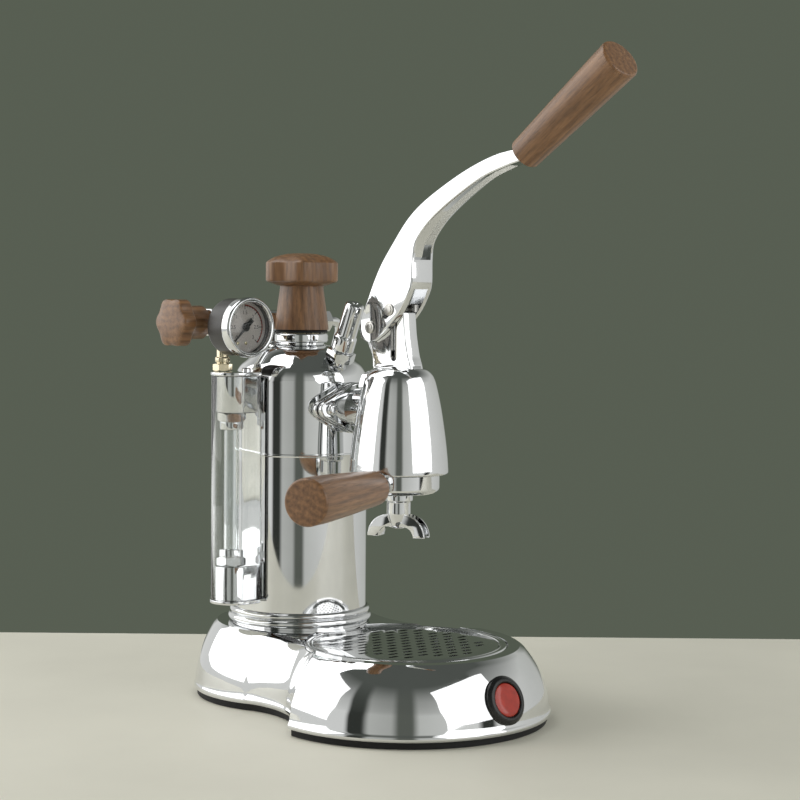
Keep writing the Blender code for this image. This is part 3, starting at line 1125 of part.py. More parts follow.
def make_sight_glass():
    """Two fittings on the boiler, the gauge glass between them and its clear shield."""
    heights = ((LOWER_BLOCK_BOTTOM, LOWER_BLOCK_TOP, SIGHT_LOW_ARM, "lower", 1.0),
               (UPPER_BLOCK_BOTTOM, UPPER_BLOCK_TOP, SIGHT_HIGH_ARM, "upper", -1.0))
    glass_low = LOWER_BLOCK_TOP - SIGHT_NUT_HEIGHT
    glass_high = UPPER_BLOCK_BOTTOM + SIGHT_NUT_HEIGHT
    for low, high, arm_z, word, way in heights:
        body = slab(f"sight_{word}_fitting", rounded_front(BLOCK_RADIUS, BLOCK_BACK_X), low, high)
        arm = drum(f"{word}_arm", SIGHT_ARM_RADIUS, BOILER_RADIUS - BOILER_WALL, -SIGHT_X, TINY_STEPS)
        join(body, guide(arm, (0.0, 0.0, arm_z), (0.0, math.radians(-90.0), 0.0)))
        inner = high if way > 0 else low
        hole = drum(f"{word}_glass_socket", SIGHT_TUBE_RADIUS + GAP, inner - SIGHT_NUT_HEIGHT - GAP,
                    inner + SIGHT_NUT_HEIGHT + GAP, SMALL_STEPS)
        combine(body, guide(hole, (SIGHT_X, 0.0, 0.0)))
        outer = low if way > 0 else high
        ends = sorted((outer, outer - way * RING_THICKNESS))
        join(body, guide(slab(f"{word}_ring", rounded_front(SHIELD_RADIUS + RING_OVERHANG, SHIELD_BACK_X),
                              *ends)))
        if way < 0:
            screw = drum("shield_screw", SHIELD_SCREW_RADIUS, high, ends[1] + SHIELD_SCREW_HEIGHT, TINY_STEPS,
                         chamfer=FLANGE_STEP / 2.0)
            join(body, guide(screw, (SHIELD_SCREW_X, SHIELD_SCREW_Y, 0.0)))
        keep(smooth(body), f"sight_{word}_fitting", CHROME, 0.08, 1.0)
        face = inner + way * GAP
        ends = sorted((face, face + way * SIGHT_NUT_HEIGHT))
        nut = hexagon(f"sight_{word}_nut", SIGHT_NUT_ACROSS, *ends)
        lip = sorted((face + way * SIGHT_NUT_HEIGHT / 2.0,
                      face + way * (SIGHT_NUT_HEIGHT + SIGHT_COLLAR_HEIGHT)))
        join(nut, guide(drum("nut_collar", SIGHT_COLLAR_RADIUS, *lip, SMALL_STEPS), (SIGHT_X, 0.0, 0.0)))
        bore = drum("nut_bore", SIGHT_TUBE_RADIUS + GAP, min(low, glass_low), max(high, glass_high),
                    SMALL_STEPS)
        combine(nut, guide(bore, (SIGHT_X, 0.0, 0.0)))
        keep(nut, f"sight_{word}_nut", CHROME, 0.1, 1.0, (SIGHT_X, 0.0, 0.0))
    glass = tube("sight_glass", SIGHT_TUBE_RADIUS, SIGHT_TUBE_RADIUS - SIGHT_TUBE_WALL, glass_low, glass_high,
                 SMALL_STEPS)
    keep(glass, "sight_glass", (0.9, 0.95, 0.95), 0.02, 0.0, (SIGHT_X, 0.0, 0.0))

    bottom = LOWER_BLOCK_BOTTOM + GAP
    top = UPPER_BLOCK_TOP - GAP
    shield = slab("glass_shield", rounded_front(SHIELD_RADIUS, SHIELD_BACK_X), bottom, top)
    hollow = slab("shield_hollow", rounded_front(SHIELD_RADIUS - SHIELD_WALL, SHIELD_BACK_X + OVERRUN),
                  bottom - OVERRUN, top + OVERRUN)
    combine(shield, guide(hollow))
    keep(smooth(shield), "glass_shield", (0.92, 0.94, 0.94), 0.05)


def make_gauge():
    """The pressure gauge faces the operator and stands on its elbow above the sight glass."""
    here = (GAUGE_X, 0.0, GAUGE_Z)
    back, middle, front = -GAUGE_CASE_BACK, -GAUGE_BEZEL_BACK, -GAUGE_FRONT
    dial = -GAUGE_DIAL_Y
    outer = GAUGE_CASE_RADIUS
    inner = outer - GAUGE_WALL
    case = turned("gauge_case", [
        (0.0, back + GAUGE_WALL), (inner - GAUGE_WALL, back + GAUGE_WALL), (inner, back + GAUGE_CORNER),
        (inner, dial), (outer, dial), (outer, back + 2.0 * GAUGE_WALL), (outer - 2.0 * GAUGE_WALL, back),
        (0.0, back)], MID_STEPS)
    keep(case, "gauge_case", (0.10, 0.095, 0.09), 0.35, 0.6, here, FACING_FRONT)
    bezel = turned("gauge_bezel", [
        (GAUGE_OPENING, front), (GAUGE_RADIUS - GAUGE_WALL, front), (GAUGE_RADIUS, front - GAUGE_WALL),
        (GAUGE_RADIUS, middle), (GAUGE_CASE_RADIUS + GAP, middle),
        (GAUGE_CASE_RADIUS + GAP, front - 2.0 * GAUGE_WALL),
        (GAUGE_OPENING, front - 2.0 * GAUGE_WALL)], MID_STEPS, closed=True)
    keep(bezel, "gauge_bezel", CHROME, 0.06, 1.0, here, FACING_FRONT)
    lens_back = front - 2.0 * GAUGE_WALL - GAP - GAUGE_LENS_THICKNESS
    lens = drum("gauge_lens", GAUGE_CASE_RADIUS - GAP, lens_back, lens_back + GAUGE_LENS_THICKNESS, MID_STEPS)
    keep(lens, "gauge_lens", (0.9, 0.93, 0.93), 0.02, 0.0, here, FACING_FRONT)
    plate_back = dial - GAUGE_DIAL_THICKNESS
    plate = drum("gauge_dial", GAUGE_DIAL_RADIUS, plate_back, dial, MID_STEPS)
    hole = drum("dial_hole", NEEDLE_HUB / 2.0 + GAP, plate_back - OVERRUN, dial + OVERRUN, TINY_STEPS)
    combine(plate, guide(hole, here, FACING_FRONT))
    keep(plate, "gauge_dial", (0.72, 0.70, 0.68), 0.3, 0.3, here, FACING_FRONT)
    low = dial + NEEDLE_HUB / 2.0
    hub = turned("gauge_needle", [
        (0.0, low + NEEDLE_THICKNESS * 2.0), (NEEDLE_HUB, low + NEEDLE_THICKNESS * 2.0), (NEEDLE_HUB, low),
        (NEEDLE_HUB / 2.0, low), (NEEDLE_HUB / 2.0, plate_back), (0.0, plate_back)], TINY_STEPS)
    wide = NEEDLE_WIDTH
    near_tip = NEEDLE_LENGTH * NEEDLE_POINT_SHARE
    under = low + NEEDLE_THICKNESS / 2.0
    blade = slab("needle_blade", [
        (0.0, NEEDLE_LENGTH), (-wide / 2.0, near_tip), (-wide, 0.0), (-wide, -NEEDLE_TAIL),
        (wide, -NEEDLE_TAIL), (wide, 0.0), (wide / 2.0, near_tip)], under, under + NEEDLE_THICKNESS)
    turn = Matrix.Rotation(math.radians(90.0), 4, "X") @ Matrix.Rotation(NEEDLE_REST, 4, "Z")
    join(hub, guide(blade, here, turn.to_euler()))
    keep(hub, "gauge_needle", (0.05, 0.05, 0.05), 0.4, 0.0, here, turn.to_euler())

    deck = UPPER_BLOCK_TOP + RING_THICKNESS + GAP
    path = [(0.0, GAUGE_CASE_BACK + GAP, GAUGE_Z)]
    bend = ELBOW_Y - GAUGE_CASE_BACK - ELBOW_LEAD
    path += [(0.0, y, z) for y, z in arc((ELBOW_Y - bend, GAUGE_Z - bend), bend, math.pi / 2.0, 0.0, 5)]
    path += [(0.0, ELBOW_Y, deck)]
    elbow = pipe("gauge_elbow", path, ELBOW_RADIUS)
    collar = hexagon("elbow_nut", ELBOW_NUT_ACROSS, deck, deck + ELBOW_NUT_HEIGHT)
    join(elbow, guide(collar, (GAUGE_X, ELBOW_Y, 0.0)))
    keep(smooth(elbow), "gauge_elbow", BRASS, 0.3, 1.0, (GAUGE_X, 0.0, 0.0))


def rhombic(half, tall, corner):
    """A two-bolt flange's outline in X and Z: a round middle drawn out to a tip each side."""
    tip = half - corner
    lean = math.acos((tall - corner) / tip)
    outline = arc((0.0, 0.0), tall, lean, math.pi - lean, 7)
    outline += arc((-tip, 0.0), corner, math.pi - lean, math.pi + lean, 5)
    outline += arc((0.0, 0.0), tall, math.pi + lean, 2.0 * math.pi - lean, 7)
    outline += arc((tip, 0.0), corner, -lean, lean, 5)
    return outline


def flange_plate(name, back, thickness, grow=0.0):
    """One rhombic plate with its bolt holes, standing across Y."""
    outline = [(x, z + GROUP_Z) for x, z in rhombic(FLANGE_HALF + grow, FLANGE_TALL + grow,
                                                    FLANGE_CORNER + grow)]
    plate = slab(name, outline, back - thickness, back, "XZ")
    for side in (-1.0, 1.0):
        hole = drum(f"{name}_hole", BOLT_RADIUS + GAP, -back - OVERRUN * 2.0,
                    -back + thickness + OVERRUN * 2.0,
                    TINY_STEPS)
        combine(plate, guide(hole, (side * BOLT_SPACING, 0.0, GROUP_Z), FACING_FRONT))
    return plate


def make_group_flange():
    """The boiler's flange, the gasket and the two bolts that hold the group."""
    port = drum("flange_port", PORT_RADIUS, -FLANGE_FACE - OVERRUN, -FLANGE_FACE + 2.0 * FLANGE_PLATE,
                TINY_STEPS)
    guide(port, (0.0, 0.0, GROUP_Z), FACING_FRONT)
    plate = flange_plate("group_flange", FLANGE_FACE, FLANGE_PLATE)
    combine(plate, port)
    keep(smooth(plate), "group_flange", CHROME, 0.08, 1.0)
    face = FLANGE_FACE - FLANGE_PLATE - GAP
    gasket = flange_plate("flange_gasket", face, GASKET_THICKNESS, -FLANGE_STEP / 2.0)
    combine(gasket, port)
    keep(smooth(gasket), "flange_gasket", BLACK, 0.8)
    front = -(GROUP_FLANGE_BACK - FLANGE_PLATE - GAP)
    for side, word in ((-1.0, "left"), (1.0, "right")):
        bolt = hexagon(f"flange_bolt_{word}", BOLT_HEAD, front, front + BOLT_HEAD_HEIGHT,
                       BOLT_CHAMFER)
        place = (side * BOLT_SPACING, 0.0, GROUP_Z)
        shank = drum("bolt_shank", BOLT_RADIUS, -FLANGE_FACE + GAP, front + BOLT_HEAD_HEIGHT / 2.0,
                     TINY_STEPS)
        join(bolt, guide(shank, place, FACING_FRONT))
        keep(bolt, f"flange_bolt_{word}", CHROME, 0.1, 1.0, place, FACING_FRONT)


def make_group():
    """The group casting: bell, tower with its slot, neck and flange, and what sits in the bell."""
    here = (0.0, GROUP_Y, 0.0)
    profile = [(BELL_RADIUS * out, BELL_BOTTOM + BELL_HEIGHT * up) for out, up in BELL_SHARES]
    bell = turned("group_bell", profile + [(0.0, BELL_BOTTOM)], MID_STEPS)
    flank = [(TOWER_REACH * front, TOWER_FOOT + TOWER_HEIGHT * up) for up, front, _ in TOWER_SIDE_SHARES]
    flank += [(TOWER_REACH * back, TOWER_FOOT + TOWER_HEIGHT * up)
              for up, _, back in reversed(TOWER_SIDE_SHARES)]
    join(bell, guide(slab("tower", flank, -TOWER_HALF, TOWER_HALF, "YZ"), here))
    rings = []
    for up, *shares in FLARE_SHARES:
        front, narrow, back, wide = (TOWER_REACH * share for share in shares)
        z = BELL_TOP - FLARE_SINK + FLARE_HEIGHT * up
        rings.append([(-narrow, front, z), (narrow, front, z), (wide, back, z), (-wide, back, z)])
    join(bell, guide(loft("tower_flare", rings), here))
    neck = drum("group_neck", NECK_TUBE_RADIUS, -GROUP_FLANGE_BACK + FLANGE_STEP,
                -GROUP_Y - SLEEVE_RADIUS - GAP,
                SMALL_STEPS)
    join(bell, guide(neck, (0.0, 0.0, GROUP_Z), FACING_FRONT))
    plate = flange_plate("group_side_flange", GROUP_FLANGE_BACK, FLANGE_PLATE)
    join(bell, guide(plate))
    upper = SLEEVE_TOP + GAP
    socket = turned("bell_bore", [
        (0.0, TOWER_TOP + OVERRUN), (ROD_RADIUS + ROD_CLEAR, TOWER_TOP + OVERRUN),
        (ROD_RADIUS + ROD_CLEAR, upper),
        (SLEEVE_RADIUS + GAP, upper), (SLEEVE_RADIUS + GAP, SEAL_BOTTOM + SEAL_HEIGHT),
        (LUG_RADIUS + LUG_CLEAR, SEAL_BOTTOM + SEAL_HEIGHT), (LUG_RADIUS + LUG_CLEAR, LUG_BOTTOM - GAP),
        (SOCKET_RADIUS, LUG_BOTTOM - GAP), (SOCKET_RADIUS, BELL_BOTTOM - OVERRUN),
        (0.0, BELL_BOTTOM - OVERRUN)],
        MID_STEPS)
    combine(bell, guide(socket, here))
    for side in (0.0, math.pi):
        heading = HANDLE_HEADING + math.pi / 2.0 + side
        reach = LUG_RADIUS + LUG_CLEAR + GAP
        fan = [(0.0, 0.0)] + arc((0.0, 0.0), reach, heading - NOTCH_HALF_ANGLE, heading + NOTCH_HALF_ANGLE, 7)
        combine(bell, guide(slab("lug_notch", fan, BELL_BOTTOM - OVERRUN, LUG_BOTTOM + GAP), here))
    outline = [(GROUP_Y - SLOT_HALF, TOWER_TOP + OVERRUN)]
    outline += arc((GROUP_Y, SLOT_BOTTOM), SLOT_HALF, math.pi, 2.0 * math.pi, 7)
    outline += [(GROUP_Y + SLOT_HALF, TOWER_TOP + OVERRUN)]
    combine(bell, guide(slab("pin_slot", outline, -CHEEK_OUTER, CHEEK_OUTER, "YZ")))
    pivot = drum("fulcrum_bore", PIN_RADIUS + GAP, -CHEEK_OUTER, CHEEK_OUTER, TINY_STEPS)
    combine(bell, guide(pivot, (0.0, FULCRUM_Y, FULCRUM_Z), LYING_ALONG_X))
    port = drum("group_port", PORT_RADIUS, -GROUP_FLANGE_BACK - OVERRUN, -GROUP_Y - SLEEVE_BORE, TINY_STEPS)
    combine(bell, guide(port, (0.0, 0.0, GROUP_Z), FACING_FRONT))
    keep(smooth(bell, math.radians(30.0)), "group_bell", CHROME, 0.05, 1.0, here)

    sleeve = tube("cylinder_sleeve", SLEEVE_RADIUS, SLEEVE_BORE, SLEEVE_BOTTOM, SLEEVE_TOP, MID_STEPS)
    hole = drum("sleeve_port", PORT_RADIUS, -GROUP_Y - SLEEVE_RADIUS - OVERRUN,
                -GROUP_Y - SLEEVE_BORE + OVERRUN,
                TINY_STEPS)
    combine(sleeve, guide(hole, (0.0, 0.0, GROUP_Z), FACING_FRONT))
    keep(sleeve, "cylinder_sleeve", BRASS, 0.3, 1.0, here)
    seal = tube("group_seal", SOCKET_RADIUS, SEAL_INNER, SEAL_BOTTOM, SEAL_BOTTOM + SEAL_HEIGHT - GAP,
                MID_STEPS)
    keep(seal, "group_seal", BLACK, 0.7, 0.0, here)
    low = SLEEVE_BOTTOM - GAP - SCREEN_THICKNESS
    screen = turned("shower_screen", [
        (0.0, low + SCREEN_THICKNESS), (SCREEN_RADIUS, low + SCREEN_THICKNESS),
        (SCREEN_RADIUS, low - SCREEN_THICKNESS),
        (SCREEN_RADIUS - SCREEN_THICKNESS, low - SCREEN_THICKNESS), (SCREEN_RADIUS - SCREEN_THICKNESS, low),
        (0.0, low)],
        MID_STEPS)
    keep(screen, "shower_screen", STEEL, 0.2, 1.0, here)


def make_piston():
    """Piston with two seals, its rod and the pin that the lever draws down the tower's slot."""
    here = (0.0, GROUP_Y, 0.0)
    tall = PISTON_TOP - PISTON_BOTTOM
    low_groove = PISTON_BOTTOM + tall * PISTON_GROOVE_SHARE
    high_groove = PISTON_TOP - tall * PISTON_GROOVE_SHARE - PISTON_SEAL_HEIGHT
    profile = [(0.0, PISTON_TOP), (PISTON_RADIUS, PISTON_TOP)]
    for groove in (high_groove, low_groove):
        top = groove + PISTON_SEAL_HEIGHT
        profile += [(PISTON_RADIUS, top), (PISTON_GROOVE, top), (PISTON_GROOVE, groove),
                    (PISTON_RADIUS, groove)]
    profile += [(PISTON_RADIUS, PISTON_BOTTOM), (0.0, PISTON_BOTTOM)]
    head = turned("piston_head", profile, MID_STEPS)
    socket = drum("rod_socket", ROD_RADIUS + GAP, PISTON_TOP - ROD_SEAT, PISTON_TOP + OVERRUN, TINY_STEPS)
    combine(head, guide(socket, here))
    keep(head, "piston_head", BRASS, 0.3, 1.0, here)
    for groove, word in ((low_groove, "lower"), (high_groove, "upper")):
        seal = tube(f"piston_seal_{word}", PISTON_SEAL_RADIUS, PISTON_GROOVE + GAP, groove + GAP,
                    groove + PISTON_SEAL_HEIGHT - GAP, MID_STEPS)
        keep(seal, f"piston_seal_{word}", BLACK, 0.7, 0.0, here)
    rod = drum("piston_rod", ROD_RADIUS, PISTON_TOP - ROD_SEAT + GAP, ROD_TOP, TINY_STEPS,
               chamfer=FLANGE_STEP / 2.0)
    eye = drum("rod_eye", PIN_RADIUS + GAP, -ROD_RADIUS - OVERRUN, ROD_RADIUS + OVERRUN, TINY_STEPS)
    combine(rod, guide(eye, (0.0, GROUP_Y, PISTON_PIN_Z), LYING_ALONG_X))
    keep(rod, "piston_rod", STEEL, 0.2, 1.0, here)
    for name, y, z in (("piston_pin", GROUP_Y, PISTON_PIN_Z), ("fulcrum_pin", FULCRUM_Y, FULCRUM_Z)):
        pin = drum(name, PIN_RADIUS, -PIN_LENGTH / 2.0, PIN_LENGTH / 2.0, TINY_STEPS, chamfer=PIN_CHAMFER)
        keep(pin, name, STEEL, 0.15, 1.0, (0.0, y, z), LYING_ALONG_X)


def lever_line(shares):
    """Points of the lever's side outline, from their shares of its run and rise off the fulcrum."""
    return [(FULCRUM_Y - LEVER_RUN * ahead, FULCRUM_Z + LEVER_RISE * above) for ahead, above in shares]


def pinch(shape):
    """Draw the arm in from the fork's width to the handle's, by the distance from the fulcrum."""
    tip = lever_line(LEVER_FRONT_SHARES)[0]
    far = math.hypot(tip[0] - FULCRUM_Y, tip[1] - FULCRUM_Z)
    for vert in shape.verts:
        away = math.hypot(vert.co.y - FULCRUM_Y, vert.co.z - FULCRUM_Z)
        share = min(1.0, max(0.0, (away - ARM_TAPER_START) / (far - ARM_TAPER_START)))
        vert.co.x *= 1.0 + (ARM_END_HALF / CHEEK_OUTER - 1.0) * share


def make_lever():
    """The forked lever, hollow under the arm, and its turned wooden handle."""
    back, front = lever_line(LEVER_BACK_SHARES), lever_line(LEVER_FRONT_SHARES)
    arm = slab("lever_arm", back + front, -CHEEK_OUTER, CHEEK_OUTER, "YZ")
    shape = bmesh.new()
    shape.from_mesh(arm.data)
    pinch(shape)
    rims = [e for e in shape.edges if abs(e.verts[0].co.x - e.verts[1].co.x) < CHEEK_OUTER / 2.0]
    bmesh.ops.bevel(shape, geom=rims, offset=LEVER_BEVEL, segments=2, affect="EDGES", profile=0.5)
    shape.to_mesh(arm.data)
    shape.free()
    pivot = (FULCRUM_Y, FULCRUM_Z)
    fork = arc(pivot, FORK_BACK_REACH, *FORK_BACK_ANGLES, 10)
    fork += arc(pivot, FORK_REACH, *FORK_FRONT_ANGLES, 9)
    combine(arm, guide(slab("fork_gap", fork, -CHEEK_INNER, CHEEK_INNER, "YZ")))
    pairs = list(zip(front, reversed(back)))[1:8]
    roof = [Vector(f).lerp(Vector(b), CHANNEL_SHARE) for f, b in pairs]
    under = [Vector(f).lerp(Vector(b), CHANNEL_SHARE - 1.0) for f, b in pairs]
    outline = [tuple(spot) for spot in under + list(reversed(roof))]
    hollow = slab("arm_channel", outline, -CHEEK_OUTER + ARM_WALL, CHEEK_OUTER - ARM_WALL, "YZ")
    shape = bmesh.new()
    shape.from_mesh(hollow.data)
    pinch(shape)
    shape.to_mesh(hollow.data)
    shape.free()
    combine(arm, guide(hollow))
    for side in (-1.0, 1.0):
        shape = bmesh.new()
        made = bmesh.ops.create_uvsphere(shape, u_segments=14, v_segments=8, radius=1.0)
        bmesh.ops.scale(shape, verts=made["verts"], vec=RECESS_SIZE)
        x = side * (CHEEK_OUTER + RECESS_SIZE[0] - RECESS_DEPTH)
        combine(arm, guide(from_bmesh(shape, "fulcrum_recess"), (x, *RECESS_PLACE)))
    hole = drum("fulcrum_hole", PIN_RADIUS + GAP, -CHEEK_OUTER - OVERRUN, CHEEK_OUTER + OVERRUN, TINY_STEPS)
    combine(arm, guide(hole, (0.0, FULCRUM_Y, FULCRUM_Z), LYING_ALONG_X))
    radius = math.hypot(GROUP_Y - FULCRUM_Y, PISTON_PIN_Z - FULCRUM_Z)
    nearest = FULCRUM_Y - GROUP_Y
    heading = math.atan2(PISTON_PIN_Z - FULCRUM_Z, GROUP_Y - FULCRUM_Y)
    aim = (math.cos(heading), math.sin(heading))
    side = PIN_RADIUS + PIN_SLOT_CLEAR
    ends = [nearest - PIN_SLOT_CLEAR, radius + PIN_SLOT_CLEAR]
    spots = [(FULCRUM_Y + aim[0] * reach, FULCRUM_Z + aim[1] * reach) for reach in ends]
    outline = arc(spots[0], side, heading + math.pi / 2.0, heading + 1.5 * math.pi, 7)
    outline += arc(spots[1], side, heading - math.pi / 2.0, heading + math.pi / 2.0, 7)
    combine(arm, guide(slab("piston_pin_slot", outline, -CHEEK_OUTER - OVERRUN, CHEEK_OUTER + OVERRUN, "YZ")))
    turn = (HANDLE_ANGLE - math.pi / 2.0, 0.0, 0.0)
    spike = drum("handle_tang", TANG_RADIUS, -TANG_ROOT, TANG_LENGTH, TINY_STEPS)
    join(arm, guide(spike, (0.0, *HANDLE_START), turn))
    keep(smooth(arm), "lever_arm", CHROME, 0.05, 1.0)

    root, end = HANDLE_ROOT_RADIUS, HANDLE_END_RADIUS
    grip = turned("lever_handle", [
        (0.0, HANDLE_LENGTH), (end - HANDLE_CHAMFER, HANDLE_LENGTH), (end, HANDLE_LENGTH - HANDLE_CHAMFER),
        (root + (end - root) * HANDLE_SWELL_SHARE, HANDLE_LENGTH / 2.0), (root, HANDLE_CHAMFER),
        (root - HANDLE_CHAMFER, 0.0),
        (TANG_RADIUS + GAP, 0.0), (TANG_RADIUS + GAP, TANG_LENGTH + GAP), (0.0, TANG_LENGTH + GAP)],
        MID_STEPS)
    keep(grip, "lever_handle", WALNUT, 0.35, 0.0, (0.0, *HANDLE_START), turn)


def make_portafilter():
    """The filter holder: head with two lugs, basket, ferrule and turned wooden grip."""
    here = (0.0, GROUP_Y, 0.0)
    floor = HEAD_BOTTOM + HEAD_FLOOR
    head = turned("portafilter_head", [
        (HEAD_INNER, HEAD_TOP), (HEAD_RADIUS, HEAD_TOP), (HEAD_RADIUS, HEAD_BOTTOM + HEAD_FLOOR),
        (HEAD_RADIUS - HEAD_FLOOR, HEAD_BOTTOM), (SPOUT_BORE, HEAD_BOTTOM), (SPOUT_BORE, floor),
        (HEAD_INNER, floor)], MID_STEPS, closed=True)
    inner = HEAD_INNER + LUG_ROOT
    for side in (0.0, math.pi):
        heading = HANDLE_HEADING + math.pi / 2.0 + side
        fan = arc((0.0, 0.0), LUG_RADIUS, heading - LUG_HALF_ANGLE, heading + LUG_HALF_ANGLE, 7)
        fan += list(reversed(arc((0.0, 0.0), inner, heading - LUG_HALF_ANGLE, heading + LUG_HALF_ANGLE, 7)))
        join(head, guide(slab("head_lug", fan, LUG_BOTTOM, LUG_BOTTOM + LUG_HEIGHT), here))
    turn = (0.0, math.radians(90.0), HANDLE_HEADING)
    mouth = (0.0, GROUP_Y, GRIP_Z)
    boss = drum("ferrule_boss", FERRULE_ROOT_RADIUS - RUNNING, FERRULE_START, FERRULE_START + HEAD_FLOOR,
                SMALL_STEPS)
    join(head, guide(boss, mouth, turn))
    stud = drum("grip_stud", GRIP_TANG_RADIUS, FERRULE_START, GRIP_TANG_END, TINY_STEPS)
    join(head, guide(stud, mouth, turn))
    keep(smooth(head), "portafilter_head", CHROME, 0.06, 1.0, here)
    lip = HEAD_TOP + GAP
    foot = BASKET_RADIUS - BASKET_TAPER
    basket = turned("filter_basket", [
        (0.0, BASKET_BOTTOM + BASKET_WALL), (foot - BASKET_WALL, BASKET_BOTTOM + BASKET_WALL),
        (BASKET_RADIUS - BASKET_WALL, lip + BASKET_WALL), (BASKET_RIM, lip + BASKET_WALL), (BASKET_RIM, lip),
        (BASKET_RADIUS, lip), (foot, BASKET_BOTTOM), (0.0, BASKET_BOTTOM)], MID_STEPS)
    keep(basket, "filter_basket", STEEL, 0.25, 1.0, here)
    start = FERRULE_START + HEAD_FLOOR + GAP
    ferrule = turned("handle_ferrule", [
        (GRIP_TANG_RADIUS + GAP, FERRULE_END), (FERRULE_END_RADIUS, FERRULE_END),
        (FERRULE_ROOT_RADIUS, FERRULE_NECK_END), (FERRULE_ROOT_RADIUS, start),
        (GRIP_TANG_RADIUS + GAP, start)], SMALL_STEPS, closed=True)
    keep(ferrule, "handle_ferrule", CHROME, 0.08, 1.0, mouth, turn)
    root, end = GRIP_ROOT_RADIUS, GRIP_END_RADIUS
    along = GRIP_END - GRIP_START
    near, swell = GRIP_SWELL_SHARES
    grip = turned("portafilter_grip", [
        (0.0, GRIP_END), (end - HANDLE_CHAMFER, GRIP_END), (end, GRIP_END - HANDLE_CHAMFER),
        (end, GRIP_END - along * GRIP_STRAIGHT_SHARE),
        (root + (end - root) * swell, GRIP_START + along * near),
        (root, GRIP_START + HANDLE_CHAMFER), (root - HANDLE_CHAMFER, GRIP_START),
        (GRIP_TANG_RADIUS + GAP, GRIP_START), (GRIP_TANG_RADIUS + GAP, GRIP_TANG_END + GAP),
        (0.0, GRIP_TANG_END + GAP)], MID_STEPS)
    keep(grip, "portafilter_grip", WALNUT, 0.35, 0.0, mouth, turn)


def make_spout():
    """The double spout: a stepped boss and two open channels that curl outward and down."""
    here = (0.0, GROUP_Y, 0.0)
    body = turned("double_spout", [
        (0.0, BOSS_TOP), (BOSS_COLLAR_RADIUS, BOSS_TOP), (BOSS_COLLAR_RADIUS, BOSS_TOP - BOSS_COLLAR_HEIGHT),
        (BOSS_RADIUS, BOSS_TOP - BOSS_COLLAR_HEIGHT - FLANGE_STEP / 2.0), (BOSS_RADIUS, SPOUT_TOP),
        (SPOUT_ARM_HALF, BOSS_BOTTOM - SPOUT_ARM_HEIGHT), (0.0, BOSS_BOTTOM - SPOUT_ARM_HEIGHT)], SMALL_STEPS)
    outer = SPOUT_BEND_RADIUS
    inner = outer - SPOUT_ARM_HEIGHT
    half = SPOUT_ARM_HALF - SPOUT_WALL
    troughs = []
    for side in (1.0, -1.0):
        centre = (side * SPOUT_BEND_CENTRE, SPOUT_TOP - outer)
        start = math.pi / 2.0 + side * SPOUT_ARM_LEAD
        end = math.pi / 2.0 - side * math.radians(90.0)
        outline = arc(centre, outer, start, end, 7) + arc(centre, inner, end, start, 7)
        arm = slab("spout_arm", outline, -SPOUT_ARM_HALF, SPOUT_ARM_HALF, "XZ")
        turn = (0.0, 0.0, HANDLE_HEADING + SPOUT_TURN)
        join(body, guide(arm, here, turn))
        channel = arc(centre, outer + OVERRUN, start, end - side * SPOUT_LIP_ANGLE, 7)
        channel += arc(centre, inner + SPOUT_WALL, end - side * SPOUT_LIP_ANGLE, start, 7)
        troughs.append(slab("spout_channel", channel, -half, half, "XZ"))
    collar = tube("channel_limit", BOSS_COLLAR_RADIUS + SPOUT_CUT_RUN, BOSS_RADIUS - SPOUT_WALL / 2.0,
                  SPOUT_TOP - 2.0 * outer, SPOUT_TOP + OVERRUN * 2.0, SMALL_STEPS)
    guide(collar, here)
    for shape in troughs:
        limit = shape.modifiers.new("outside_boss", "BOOLEAN")
        limit.operation = "INTERSECT"
        limit.solver = "EXACT"
        limit.object = collar
        combine(body, guide(shape, here, (0.0, 0.0, HANDLE_HEADING + SPOUT_TURN)))
    bore = drum("spout_bore", SPOUT_BORE, SPOUT_TOP - SPOUT_WALL, BOSS_TOP + OVERRUN, TINY_STEPS)
    combine(body, guide(bore, here))
    keep(smooth(body), "double_spout", CHROME, 0.06, 1.0, here)


make_base()
make_badge()
make_tray()
make_boiler()
make_heater()
make_cord_gland()
make_switch()
make_cap()
make_steam_valve()
make_wand()
make_safety_valve()
make_sight_glass()
make_gauge()
make_group_flange()
make_group()
make_piston()
make_lever()
make_portafilter()
make_spout()
bpy.context.view_layer.update()
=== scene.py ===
"""A lever espresso machine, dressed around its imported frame: chrome, walnut, glass and enamel."""

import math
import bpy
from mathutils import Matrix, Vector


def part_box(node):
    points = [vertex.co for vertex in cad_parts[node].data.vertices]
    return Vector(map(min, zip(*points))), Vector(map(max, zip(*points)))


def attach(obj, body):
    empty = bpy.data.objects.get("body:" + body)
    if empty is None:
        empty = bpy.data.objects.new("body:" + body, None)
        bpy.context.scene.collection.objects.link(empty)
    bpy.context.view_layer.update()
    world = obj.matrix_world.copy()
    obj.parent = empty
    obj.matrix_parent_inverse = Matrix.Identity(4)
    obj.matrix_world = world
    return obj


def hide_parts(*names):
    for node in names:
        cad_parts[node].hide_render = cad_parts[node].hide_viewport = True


bl_info = {
    "name": "Lever Espresso Machine",
    "version": (1, 0, 0),
    "blender": (4, 5, 0),
    "location": "View3D > Sidebar > Espresso",
    "description": "Builds the visible pieces of a lever espresso machine, their finishes and a studio",
    "category": "Object",
}

import bmesh
import bpy
from bpy.props import FloatProperty, FloatVectorProperty, IntProperty
from mathutils import Matrix, Vector

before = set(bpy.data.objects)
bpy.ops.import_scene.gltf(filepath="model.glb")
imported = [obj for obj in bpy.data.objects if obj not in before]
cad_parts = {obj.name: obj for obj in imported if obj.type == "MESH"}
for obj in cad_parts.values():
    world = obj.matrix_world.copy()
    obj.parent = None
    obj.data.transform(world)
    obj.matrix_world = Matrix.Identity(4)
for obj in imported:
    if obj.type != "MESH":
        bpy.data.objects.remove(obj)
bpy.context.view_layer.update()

MM = 0.001

